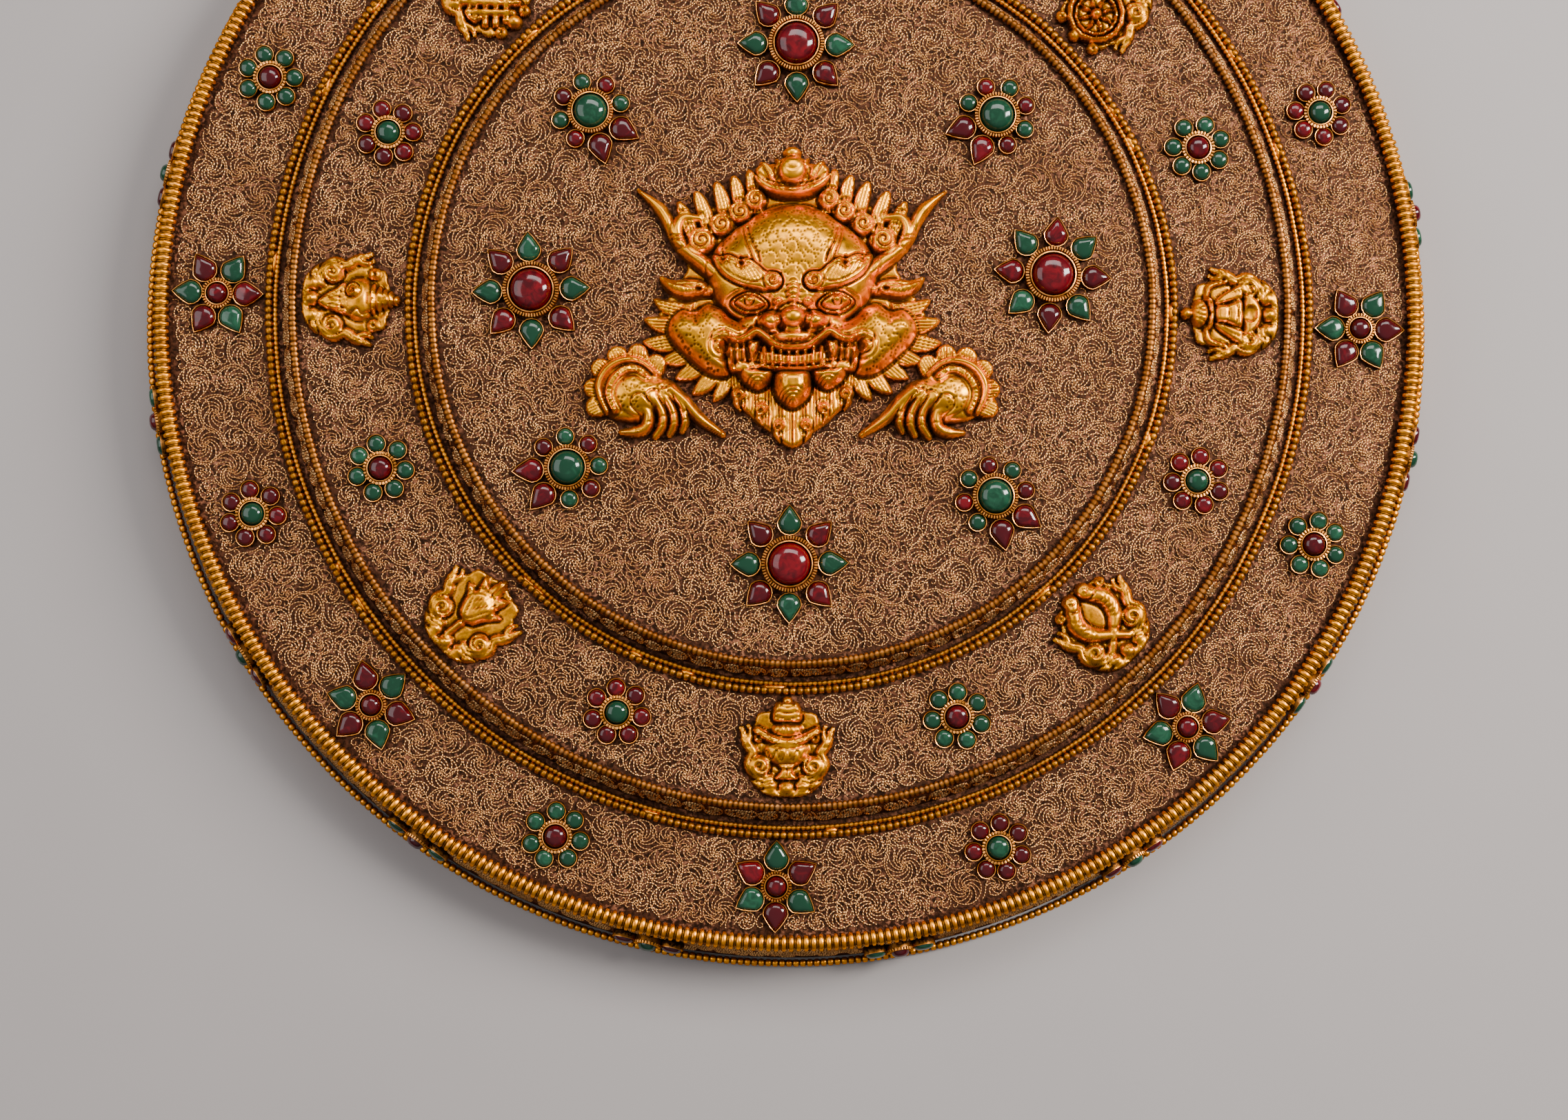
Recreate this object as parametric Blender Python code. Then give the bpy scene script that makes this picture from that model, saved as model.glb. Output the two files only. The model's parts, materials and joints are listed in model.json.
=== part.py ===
"""Round filigree plaque with a cheppu mask, as Blender solids in metres, +Z up, +Y towards the mask's crown.

Three stepped tiers of copper lie face up. Rope mouldings edge them, stone-set flowers and eight
auspicious symbols stand on their ledges, and the mask lies at the centre between its two hands.
The origin is the middle of the underside.
"""

from math import atan2, cos, pi, radians, sin

import bmesh
import bpy
import numpy as np
from mathutils import Matrix, Vector

MM = 0.001

# Clearance between pieces that are soldered or seated on one another
SEAT_GAP = 0.3 * MM

# The three tiers: radius of each ledge's top edge or width of its ledge, rise and the wall's flare
UPPER_TOP_RADIUS = 101.3 * MM
UPPER_RISE = 7.0 * MM
UPPER_FLARE = 2.5 * MM
MIDDLE_LEDGE = 37.2 * MM
MIDDLE_RISE = 7.2 * MM
MIDDLE_FLARE = 3.2 * MM
LOWER_LEDGE = 35.4 * MM
LOWER_HEIGHT = 18.8 * MM
LOWER_FLARE = 5.2 * MM
TURN_SEGMENTS = 40

# Rope mouldings
LOWER_RIM_ROPE = 4.8 * MM
LOWER_RIM_OVERHANG = 0.8 * MM
TIER_RIM_ROPE = 2.6 * MM
FINE_ROPE = 1.6 * MM
COARSE_ROPE = 2.1 * MM
FOOT_ROPE = 2.3 * MM
BASE_GROOVE = 1.1 * MM
ROPE_RISE_SHARE = 0.72

# Where the sets of flowers and symbols stand, turned a little from the picture's axes
OUTER_TURN = -1.6
MIDDLE_TURN = -0.8
BIG_FLOWER_INSET = 28.7 * MM
MIXED_FLOWER_INSET = 23.8 * MM
BIG_FLOWER_ANGLES = (6.3, 89.3, 177.5, -90.9)
MIXED_FLOWER_ANGLES = (42.8, 136.6, -143.5, -44.0)
RING_COUNT = 8

# Flowers of stones in bezels
STAR_MARGIN = 0.9 * MM
ROUND_REACH = 9.6 * MM
BIG_REACH = 16.4 * MM
MIXED_ROUND_REACH = 11.6 * MM
MIXED_PEAR_REACH = 15.4 * MM
STONE_RISE = 2.7 * MM
CENTRE_RISE = 3.6 * MM
BIG_CENTRE_RISE = 5.4 * MM
SMALL_CENTRE_RADIUS = 3.4 * MM
BIG_CENTRE_RADIUS = 7.0 * MM
BEZEL_RISE = 1.3 * MM

# Three-stone bosses on the outer wall
BOSS_COUNT = 16
BOSS_HALF_WIDTH = 10.4 * MM
BOSS_HALF_HEIGHT = 3.9 * MM
BOSS_PROJECTION = 4.6 * MM
BOSS_SIDE_PROJECTION = 3.2 * MM
BOSS_ROOT = 1.2 * MM

# Symbols and mask
SYMBOL_MARGIN = 1.1 * MM
MASK_WIDTH = 86.4 * MM
MASK_CENTRE = (-0.3 * MM, 0.0)
SHEET_EDGE = 0.9 * MM
MASK_FACETS = 1500
HAND_FACETS = 260
SYMBOL_FACETS = 150
MASK_GRID = 0.9 * MM
SMALL_GRID = 0.6 * MM

# Heights and radii that follow from the driving sizes
UPPER_FOOT_RADIUS = UPPER_TOP_RADIUS + UPPER_FLARE
MIDDLE_TOP_RADIUS = UPPER_FOOT_RADIUS + MIDDLE_LEDGE
MIDDLE_FOOT_RADIUS = MIDDLE_TOP_RADIUS + MIDDLE_FLARE
LOWER_TOP_RADIUS = MIDDLE_FOOT_RADIUS + LOWER_LEDGE
LOWER_FOOT_RADIUS = LOWER_TOP_RADIUS + LOWER_FLARE
MIDDLE_HEIGHT = LOWER_HEIGHT + MIDDLE_RISE
UPPER_HEIGHT = MIDDLE_HEIGHT + UPPER_RISE
BASE_ROPES_WIDTH = BASE_GROOVE + FINE_ROPE + COARSE_ROPE


def material(name, colour, roughness, metallic):
    """A Principled material of one colour."""
    made = bpy.data.materials.new(name)
    made.use_nodes = True
    shader = made.node_tree.nodes["Principled BSDF"]
    shader.inputs["Base Color"].default_value = (*colour, 1.0)
    shader.inputs["Roughness"].default_value = roughness
    shader.inputs["Metallic"].default_value = metallic
    return made


def add_object(name, mesh, finish, smooth_degrees=40.0):
    """Link a mesh as an object with one material, shaded smooth below the given edge angle."""
    made = bpy.data.objects.new(name, mesh)
    bpy.context.scene.collection.objects.link(made)
    mesh.materials.append(finish)
    mesh.shade_smooth()
    mesh.set_sharp_from_angle(angle=radians(smooth_degrees))
    return made


def mesh_of(bm, name):
    """Turn a closed bmesh into a mesh with its faces pointing out."""
    bmesh.ops.recalc_face_normals(bm, faces=bm.faces)
    made = bpy.data.meshes.new(name)
    bm.to_mesh(made)
    bm.free()
    return made


def add_loft(bm, rings, joined=False):
    """Skin a row of point rings, capped at both ends, or joined end to end."""
    made = [[bm.verts.new(point) for point in ring] for ring in rings]
    pairs = list(zip(made, made[1:]))
    if joined:
        pairs.append((made[-1], made[0]))
    for low, high in pairs:
        for i in range(len(low)):
            j = (i + 1) % len(low)
            bm.faces.new((low[i], low[j], high[j], high[i]))
    if not joined:
        bm.faces.new(made[0][::-1])
        bm.faces.new(made[-1])


def on_circle(radius, angle, z=0.0):
    """The point at a radius and an angle in radians about the Z axis."""
    return Vector((radius * cos(angle), radius * sin(angle), z))


def circle(radius, z, segments=TURN_SEGMENTS):
    """A level ring of points about the Z axis."""
    return [on_circle(radius, 2 * pi * i / segments, z) for i in range(segments)]


def turned_mould(name, section, finish):
    """A ring swept from a closed section of (radius, height) points."""
    bm = bmesh.new()
    rings = []
    for i in range(TURN_SEGMENTS):
        angle = 2 * pi * i / TURN_SEGMENTS
        rings.append([on_circle(radius, angle, z) for radius, z in section])
    add_loft(bm, rings, joined=True)
    return add_object(name, mesh_of(bm, name), finish)


def rope_section(centre, width, seat):
    """The four corners of one rope moulding lying on a ledge."""
    low = seat + SEAT_GAP
    top = low + ROPE_RISE_SHARE * width
    crown = 0.3 * width
    half = width / 2
    return [(centre + half, low), (centre + crown, top), (centre - crown, top), (centre - half, low)]


def rim_rope(name, edge_radius, width, overhang, seat, finish):
    """A rope moulding along the top edge of a tier."""
    centre = edge_radius + overhang - width / 2
    return turned_mould(name, rope_section(centre, width, seat), finish)


def base_ropes(name, foot_radius, seat, finish):
    """The fine and the coarse rope, soldered side by side around the foot of a tier."""
    low = seat + SEAT_GAP
    inner = foot_radius + BASE_GROOVE
    section = [
        (inner + FINE_ROPE + COARSE_ROPE, low),
        (inner + FINE_ROPE + COARSE_ROPE / 2, low + ROPE_RISE_SHARE * COARSE_ROPE),
        (inner + FINE_ROPE, low + FINE_ROPE / 3),
        (inner + FINE_ROPE / 2, low + ROPE_RISE_SHARE * FINE_ROPE),
        (inner, low),
    ]
    return turned_mould(name, section, finish)


def foot_rope(name, finish):
    """The rope moulding around the bottom of the outer wall, just clear of the ground."""
    inner = LOWER_FOOT_RADIUS + SEAT_GAP
    low = SEAT_GAP
    section = [
        (inner, low),
        (inner + FOOT_ROPE, low + 0.3 * FOOT_ROPE),
        (inner + FOOT_ROPE, low + 0.7 * FOOT_ROPE),
        (inner, low + FOOT_ROPE),
    ]
    return turned_mould(name, section, finish)


def tier(name, foot_radius, top_radius, low, high, finish):
    """One stepped tier: a low drum whose wall leans in."""
    bm = bmesh.new()
    add_loft(bm, [circle(foot_radius, low), circle(top_radius, high)])
    return add_object(name, mesh_of(bm, name), finish)


def join_helper(target, name, mesh, placed):
    """Join a mesh to the target through an object that is kept out of a render."""
    form = bpy.data.objects.new(name, mesh)
    bpy.context.scene.collection.objects.link(form)
    form.hide_render = True
    form.display_type = "WIRE"
    form.matrix_world = placed
    modifier = target.modifiers.new(name, "BOOLEAN")
    modifier.operation = "UNION"
    modifier.object = form


def boss_mesh(name):
    """One wall boss along +X: a cup for the round stone between two pointed side cups."""
    side = 0.64 * BOSS_HALF_WIDTH
    shoulder = 0.8 * BOSS_HALF_HEIGHT
    rim = 0.45 * BOSS_SIDE_PROJECTION
    outline = [
        (BOSS_HALF_WIDTH, 0.0),
        (side, shoulder),
        (0.0, BOSS_HALF_HEIGHT),
        (-side, shoulder),
        (-BOSS_HALF_WIDTH, 0.0),
        (-side, -shoulder),
        (0.0, -BOSS_HALF_HEIGHT),
        (side, -shoulder),
    ]
    count = len(outline)
    bm = bmesh.new()
    back = [bm.verts.new((-BOSS_ROOT, y, z)) for y, z in outline]
    front = [bm.verts.new((rim, y, z)) for y, z in outline]
    right = bm.verts.new((BOSS_SIDE_PROJECTION, side, 0.0))
    centre = bm.verts.new((BOSS_PROJECTION, 0.0, 0.0))
    left = bm.verts.new((BOSS_SIDE_PROJECTION, -side, 0.0))
    bm.faces.new(back)
    crowns = (right, centre, centre, left, left, centre, centre, right)
    for i, crown in enumerate(crowns):
        j = (i + 1) % count
        bm.faces.new((back[i], back[j], front[j], front[i]))
        bm.faces.new((crown, front[i], front[j]))
    for corner, crown in ((1, right), (3, left), (5, left), (7, right)):
        bm.faces.new((centre, crown, front[corner]))
    return mesh_of(bm, name)


def wall_bosses(wall, finish):
    """Solder the bosses around the lower tier's wall, square to its slope."""
    mesh = boss_mesh("wall_boss")
    mesh.materials.append(finish)
    lean = atan2(LOWER_FLARE, LOWER_HEIGHT)
    height = (LOWER_HEIGHT + FOOT_ROPE + SEAT_GAP) / 2
    radius = LOWER_FOOT_RADIUS - LOWER_FLARE * height / LOWER_HEIGHT
    # The wall's facets run inside the true circle
    radius *= cos(pi / TURN_SEGMENTS)
    for i in range(BOSS_COUNT):
        angle = radians(OUTER_TURN) + 2 * pi * (i + 0.5) / BOSS_COUNT
        place = Matrix.Translation(on_circle(radius, angle, height))
        place = place @ Matrix.Rotation(angle, 4, "Z") @ Matrix.Rotation(-lean, 4, "Y")
        join_helper(wall, f"wall_boss_{i + 1}", mesh, place)


def flower(name, place, turn, petals, centre, finish):
    """A flower of stones: petals around a centre stone, as one faceted solid.

    petals holds (angle in degrees, reach, pointed, rise) for each petal, and centre holds the
    centre stone's radius and rise.
    """
    centre_radius, centre_rise = centre
    count = len(petals)
    bm = bmesh.new()
    outline = []
    inner = []
    crowns = []
    for i, (degrees, reach, pointed, rise) in enumerate(petals):
        angle = radians(degrees)
        before = radians(petals[i - 1][0])
        if before > angle:
            before -= 2 * pi
        following = radians(petals[(i + 1) % count][0])
        if following < angle:
            following += 2 * pi
        half = min(angle - before, following - angle) / 2
        valley = (before + angle) / 2
        notch = centre_radius + 0.35 * (min(reach, petals[i - 1][1]) - centre_radius)
        outline.append((notch, valley))
        if pointed:
            outline.append((reach, angle))
        else:
            outline.append((0.96 * reach, angle - 0.5 * half))
            outline.append((0.96 * reach, angle + 0.5 * half))
        inner.append((centre_radius, valley))
        crowns.append((0.5 * (centre_radius + reach), angle, rise))
    low = [bm.verts.new(on_circle(r, a, 0.0)) for r, a in outline]
    rim = [bm.verts.new(on_circle(r, a, BEZEL_RISE)) for r, a in outline]
    ring = [bm.verts.new(on_circle(r, a, BEZEL_RISE)) for r, a in inner]
    dome = [bm.verts.new(on_circle(0.6 * r, a, centre_rise)) for r, a in inner]
    bm.faces.new(low[::-1])
    bm.faces.new(dome)
    for i in range(len(low)):
        j = (i + 1) % len(low)
        bm.faces.new((low[i], low[j], rim[j], rim[i]))
    start = 0
    for i, (petal, crown) in enumerate(zip(petals, crowns)):
        j = (i + 1) % count
        edges = 2 if petal[2] else 3
        radius, angle, rise = crown
        top = bm.verts.new(on_circle(radius, angle, rise))
        for k in range(edges):
            bm.faces.new((top, rim[(start + k) % len(rim)], rim[(start + k + 1) % len(rim)]))
        end = (start + edges) % len(rim)
        bm.faces.new((top, rim[end], ring[j]))
        bm.faces.new((top, ring[j], ring[i]))
        bm.faces.new((top, ring[i], rim[start]))
        bm.faces.new((ring[i], ring[j], dome[j], dome[i]))
        start = end
    made = add_object(name, mesh_of(bm, name), finish, smooth_degrees=20.0)
    made.location = place
    made.rotation_euler = (0.0, 0.0, turn)
    return made


def even_petals(count, reach, pointed):
    """Equal petals around a flower."""
    return [(360.0 * i / count, reach, pointed, STONE_RISE) for i in range(count)]


def mixed_petals(pears):
    """Six small round stones and two pear stones side by side, the pears given by their angles."""
    petals = []
    for i in range(RING_COUNT):
        degrees = 360.0 * i / RING_COUNT
        pointed = degrees in pears
        reach = MIXED_PEAR_REACH if pointed else MIXED_ROUND_REACH
        petals.append((degrees, reach, pointed, STONE_RISE))
    return petals


def lower_flowers(green, red):
    """Star flowers and round flowers by turns on the lower ledge."""
    inner_edge = MIDDLE_FOOT_RADIUS + BASE_ROPES_WIDTH
    outer_edge = LOWER_TOP_RADIUS + LOWER_RIM_OVERHANG - LOWER_RIM_ROPE
    radius = (inner_edge + outer_edge) / 2
    star_reach = (outer_edge - inner_edge) / 2 - STAR_MARGIN
    seat = LOWER_HEIGHT + SEAT_GAP
    for i in range(RING_COUNT):
        angle = radians(OUTER_TURN) + 2 * pi * i / RING_COUNT
        petals = even_petals(6, star_reach, True)
        centre = (SMALL_CENTRE_RADIUS, CENTRE_RISE)
        flower(f"star_flower_{i + 1}", on_circle(radius, angle, seat), angle, petals, centre, red)
        angle += pi / RING_COUNT
        petals = even_petals(7, ROUND_REACH, False)
        finish = green if i % 2 else red
        flower(f"lower_round_flower_{i + 1}", on_circle(radius, angle, seat), angle, petals, centre, finish)


def middle_flowers(green, red):
    """Round flowers on the middle ledge, between the symbols."""
    inner_edge = UPPER_FOOT_RADIUS + BASE_ROPES_WIDTH
    outer_edge = MIDDLE_TOP_RADIUS - TIER_RIM_ROPE
    radius = (inner_edge + outer_edge) / 2
    for i in range(RING_COUNT):
        angle = radians(MIDDLE_TURN) + 2 * pi * (i + 0.5) / RING_COUNT
        place = on_circle(radius, angle, MIDDLE_HEIGHT + SEAT_GAP)
        centre = (SMALL_CENTRE_RADIUS, CENTRE_RISE)
        finish = red if i % 2 else green
        petals = even_petals(7, ROUND_REACH, False)
        flower(f"middle_round_flower_{i + 1}", place, angle, petals, centre, finish)


def upper_flowers(green, red):
    """Four big flowers and four mixed ones around the mask."""
    seat = UPPER_HEIGHT + SEAT_GAP
    centre = (BIG_CENTRE_RADIUS, BIG_CENTRE_RISE)
    for i, degrees in enumerate(BIG_FLOWER_ANGLES):
        place = on_circle(UPPER_TOP_RADIUS - BIG_FLOWER_INSET, radians(degrees), seat)
        petals = even_petals(RING_COUNT, BIG_REACH, True)
        flower(f"big_flower_{i + 1}", place, 0.0, petals, centre, red)
    pears_of = ((225.0, 270.0), (270.0, 315.0), (180.0, 225.0), (270.0, 315.0))
    for i, (degrees, pears) in enumerate(zip(MIXED_FLOWER_ANGLES, pears_of)):
        place = on_circle(UPPER_TOP_RADIUS - MIXED_FLOWER_INSET, radians(degrees), seat)
        flower(f"mixed_flower_{i + 1}", place, 0.0, mixed_petals(pears), centre, green)


class Relief:
    """A raised work of overlapping forms on a flat seat, sampled on a grid and drawn into facets.

    Forms are given in the work's own units. Each adds two functions of the grid points: how far
    inside its outline a point lies, and how high the form stands there.
    """

    def __init__(self, name, unit, grid, facets, mirrored=False):
        self.name = name
        self.unit = unit
        self.grid = grid
        self.facets = facets
        self.side = -1.0 if mirrored else 1.0
        self.forms = []
        self.corners = []

    def cover(self, x, y, reach):
        """Note that a form reaches this far around a point."""
        self.corners += [(x - reach, y - reach), (x + reach, y + reach)]

    def dome(self, x, y, half_x, half_y, rise, turn=0.0):
        """A domed boss on an oval foot."""
        heading = radians(turn)

        def form(points):
            across, along = points[0] - x, points[1] - y
            u = (across * cos(heading) + along * sin(heading)) / half_x
            v = (along * cos(heading) - across * sin(heading)) / half_y
            share = np.hypot(u, v)
            return (1 - share) * min(half_x, half_y), rise * np.sqrt(np.clip(1 - share**2, 0, 1))

        self.cover(x, y, max(half_x, half_y))
        self.forms.append(form)

    def strand(self, path, widths, rises):
        """A rounded ridge along a path of points, with a half width and a rise at each point."""

        def form(points):
            inside = np.full(points[0].shape, -1e3)
            height = np.zeros(points[0].shape)
            for i in range(len(path) - 1):
                (x0, y0), (x1, y1) = path[i], path[i + 1]
                run_x, run_y = x1 - x0, y1 - y0
                along = (points[0] - x0) * run_x + (points[1] - y0) * run_y
                along = np.clip(along / (run_x**2 + run_y**2), 0, 1)
                away = np.hypot(points[0] - x0 - along * run_x, points[1] - y0 - along * run_y)
                width = widths[i] + along * (widths[i + 1] - widths[i])
                rise = rises[i] + along * (rises[i + 1] - rises[i])
                here = rise * np.sqrt(np.clip(1 - (away / width) ** 2, 0, 1))
                inside = np.maximum(inside, width - away)
                height = np.maximum(height, here)
            return inside, height

        for (x, y), width in zip(path, widths):
            self.cover(x, y, width)
        self.forms.append(form)

    def slab(self, outline, rise, bevel=0.8):
        """A flat-topped form with this convex outline, given anticlockwise, and a bevelled edge."""

        def form(points):
            inside = np.full(points[0].shape, 1e3)
            for (x0, y0), (x1, y1) in zip(outline, outline[1:] + outline[:1]):
                length = np.hypot(x1 - x0, y1 - y0)
                side = (x1 - x0) * (points[1] - y0) - (y1 - y0) * (points[0] - x0)
                inside = np.minimum(inside, side / length)
            return inside, rise * np.clip(inside / bevel, 0, 1)

        for x, y in outline:
            self.cover(x, y, 0.0)
        self.forms.append(form)

    def measure(self, x, y):
        """How far inside the outline the points lie, and how high the work stands there."""
        measured = [form((x, y)) for form in self.forms]
        inside = np.max([one for one, _ in measured], axis=0)
        height = np.max([other for _, other in measured], axis=0)
        return inside, height

    def settle(self, x, y):
        """Move points near the outline onto it, along its slope."""
        step = 0.02
        limit = 0.8 * self.grid / self.unit
        moved_x, moved_y = x.copy(), y.copy()
        for _ in range(4):
            inside, _ = self.measure(moved_x, moved_y)
            slope_x = (self.measure(moved_x + step, moved_y)[0] - inside) / step
            slope_y = (self.measure(moved_x, moved_y + step)[0] - inside) / step
            steep = np.maximum(slope_x**2 + slope_y**2, 0.25)
            moved_x = np.clip(moved_x - inside * slope_x / steep, x - limit, x + limit)
            moved_y = np.clip(moved_y - inside * slope_y / steep, y - limit, y + limit)
        return moved_x, moved_y

    def cells(self, grid_x, grid_y):
        """The grid cells that the work fills, with no two that meet only at a corner."""
        pitch = self.grid / self.unit
        filled = self.measure(grid_x[:-1, :-1] + pitch / 2, grid_y[:-1, :-1] + pitch / 2)[0] > 0
        for _ in range(3):
            here, right, above, beyond = filled[:-1, :-1], filled[:-1, 1:], filled[1:, :-1], filled[1:, 1:]
            rising = here & beyond & ~right & ~above
            falling = right & above & ~here & ~beyond
            filled[:-1, 1:] |= rising
            filled[:-1, :-1] |= falling
        return filled

    def mesh(self):
        """The closed mesh of the work on its grid, flat underneath."""
        pitch = self.grid / self.unit
        low = np.min(self.corners, axis=0) - 2 * pitch
        high = np.max(self.corners, axis=0) + 2 * pitch
        columns, rows = np.ceil((high - low) / pitch).astype(int) + 1
        grid_x, grid_y = np.meshgrid(low[0] + pitch * np.arange(columns), low[1] + pitch * np.arange(rows))
        filled = self.cells(grid_x, grid_y)
        touching = np.zeros(grid_x.shape, int)
        for across in (0, 1):
            for along in (0, 1):
                touching[along : along + rows - 1, across : across + columns - 1] += filled
        edge = (touching > 0) & (touching < 4)
        grid_x[edge], grid_y[edge] = self.settle(grid_x[edge], grid_y[edge])
        height = np.maximum(self.measure(grid_x, grid_y)[1], SHEET_EDGE / self.unit)
        bm = bmesh.new()
        tops = {}
        feet = {}
        for row, column in np.argwhere(touching > 0):
            x, y = grid_x[row, column] * self.side, grid_y[row, column]
            tops[row, column] = bm.verts.new(Vector((x, y, height[row, column])) * self.unit)
            feet[row, column] = bm.verts.new(Vector((x, y, 0.0)) * self.unit)
        sides = {}
        for row, column in np.argwhere(filled):
            corners = [(row, column), (row, column + 1), (row + 1, column + 1), (row + 1, column)]
            bm.faces.new([tops[corner] for corner in corners])
            bm.faces.new([feet[corner] for corner in corners[::-1]])
            for start, end in zip(corners, corners[1:] + corners[:1]):
                if (end, start) in sides:
                    del sides[end, start]
                else:
                    sides[start, end] = True
        for start, end in sides:
            bm.faces.new((tops[start], feet[start], feet[end], tops[end]))
        bmesh.ops.triangulate(bm, faces=bm.faces)
        return mesh_of(bm, self.name)

    def finish(self, place, turn, finish):
        """Draw the work into its number of facets and set it down at its place."""
        mesh = self.mesh()
        made = add_object(self.name, mesh, finish, smooth_degrees=35.0)
        made.location = place
        made.rotation_euler = (0.0, 0.0, turn)
        facets = made.modifiers.new("Facets", "DECIMATE")
        facets.ratio = self.facets / len(mesh.polygons)
        return made


# The mask and its hands are laid out in units, this many from horn tip to horn tip
MASK_WIDTH_UNITS = 86.4


def mask_head(relief):
    """Forehead, muzzle, cheeks, nose and eyes of the mask."""
    relief.dome(0.0, 14.0, 23.2, 15.4, 11.6)
    relief.dome(0.0, -4.0, 27.0, 24.0, 2.6)
    relief.dome(0.0, -7.0, 19.0, 10.8, 10.4)
    relief.dome(0.0, 1.6, 4.8, 6.5, 13.0)
    relief.dome(0.0, -5.8, 5.0, 4.2, 13.6)
    for side in (-1, 1):
        relief.dome(side * 25.2, -9.2, 10.4, 9.8, 9.4, turn=side * -20.0)
        relief.dome(side * 19.2, -16.0, 8.4, 5.4, 8.4, turn=side * 10.0)
        relief.dome(side * 5.6, -6.2, 3.2, 2.9, 12.0)
        relief.dome(side * 11.3, -1.2, 5.2, 2.8, 10.0, turn=side * 4.0)


def mask_brow_ears_horns(relief):
    """Leaf brows that curl at the nose, leaf ears and the branched horns."""
    for side in (-1, 1):
        brow = [(22.6, 12.6), (16.4, 9.2), (10.4, 5.6), (5.2, 3.6)]
        ear = [(20.0, 4.2), (28.6, 3.9), (37.0, 7.2)]
        horn = [(20.0, 7.0), (30.4, 15.6), (34.0, 22.0), (37.4, 27.2), (43.2, 31.4)]
        branch = [(31.4, 17.0), (31.0, 22.6), (25.6, 23.2)]
        for path, widths, rises in (
            (brow, (1.2, 3.0, 3.0, 1.9), (8.5, 12.0, 13.0, 13.2)),
            (ear, (2.6, 3.6, 0.4), (5.0, 5.2, 2.4)),
            (horn, (2.6, 2.3, 2.2, 1.9, 0.5), (6.2, 5.2, 4.6, 3.8, 2.2)),
            (branch, (1.9, 2.1, 1.2), (4.9, 4.7, 3.6)),
        ):
            relief.strand([(side * x, y) for x, y in path], widths, rises)


def mask_crown(relief):
    """Crown bowl with its jewel and knob, the curls over the forehead and the upright feather locks."""
    relief.dome(0.0, 31.9, 10.4, 4.8, 7.4)
    relief.dome(0.0, 36.4, 7.8, 5.2, 4.4)
    relief.dome(0.0, 36.4, 4.2, 4.6, 7.0)
    relief.dome(0.0, 41.6, 2.5, 2.7, 4.6)
    curls = ((25.0, 17.2, 3.7), (19.6, 21.7, 3.6), (14.4, 25.2, 3.5), (10.2, 28.6, 3.0))
    feathers = (
        (31.2, 26.8, 2.3),
        (26.4, 29.6, 2.5),
        (21.0, 31.8, 2.5),
        (16.2, 33.6, 2.5),
        (11.8, 35.0, 2.4),
    )
    for side in (-1, 1):
        for x, y, radius in curls:
            relief.dome(side * x, y, radius, radius, 5.2)
        for x, y, half in feathers:
            root = (side * x * 0.82, y * 0.66)
            middle = (side * x * 0.97, y * 0.88)
            relief.strand([root, middle, (side * x, y)], (half, half, 0.7), (3.4, 3.2, 1.8))


def mask_mouth(relief):
    """Wide upper lip, teeth, fangs and the three lobes that hang under them."""
    for side in (-1, 1):
        lip = [(21.4, -12.6), (15.4, -11.2), (10.0, -9.8), (4.6, -12.6), (-0.4, -13.4)]
        lip_rises = (9.8, 11.2, 12.2, 12.4, 12.6)
        relief.strand([(side * x, y) for x, y in lip], (2.4, 1.6, 2.4, 1.6, 1.6), lip_rises)
        relief.strand([(side * 10.3, -11.4), (side * 11.3, -18.9)], (2.6, 0.6), (12.8, 9.0))
        relief.dome(side * 9.8, -20.9, 5.6, 5.0, 8.8)
    relief.slab([(-10.5, -12.5), (-9.5, -19.0), (9.5, -19.0), (10.5, -12.5)], 9.4)
    tooth_pitch = 2.3
    for i in range(8):
        relief.dome((i - 3.5) * tooth_pitch, -16.4, 1.4, 3.0, 11.0)
    relief.dome(0.0, -24.4, 6.6, 6.2, 10.2)


def mask_beard(relief):
    """The pointed beard with its hooked curls, and the leaf locks that spread beside the cheeks."""
    beard = [(-18.5, -16.0), (-16.2, -26.6), (-5.6, -36.6), (0.0, -40.2)]
    relief.slab(beard + [(-x, y) for x, y in beard[-2::-1]], 3.4)
    curls = ((14.2, -25.6), (8.8, -30.0), (3.7, -34.2))
    locks = (
        (5.0, 37.5, 3.2),
        (-3.5, 40.6, 3.4),
        (-12.5, 41.2, 3.6),
        (-23.0, 38.0, 3.5),
        (-32.5, 37.2, 3.5),
        (-41.5, 36.6, 3.2),
        (-51.0, 35.0, 3.1),
    )
    for side in (-1, 1):
        for x, y in curls:
            relief.dome(side * x, y, 2.3, 2.3, 4.8)
        for degrees, reach, half in locks:
            heading = radians(degrees)
            path = []
            for share in (0.62, 0.88, 1.0):
                path.append((side * reach * share * cos(heading), reach * share * sin(heading)))
            relief.strand(path, (half, 0.9 * half, 0.5), (3.0, 2.9, 1.6))


def cheppu_mask(finish):
    """The mask, built up from its forms and seated on the upper tier."""
    relief = Relief("cheppu_mask", MASK_WIDTH / MASK_WIDTH_UNITS, MASK_GRID, MASK_FACETS)
    mask_head(relief)
    mask_brow_ears_horns(relief)
    mask_crown(relief)
    mask_mouth(relief)
    mask_beard(relief)
    return relief.finish(Vector((*MASK_CENTRE, UPPER_HEIGHT + SEAT_GAP)), 0.0, finish)


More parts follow.
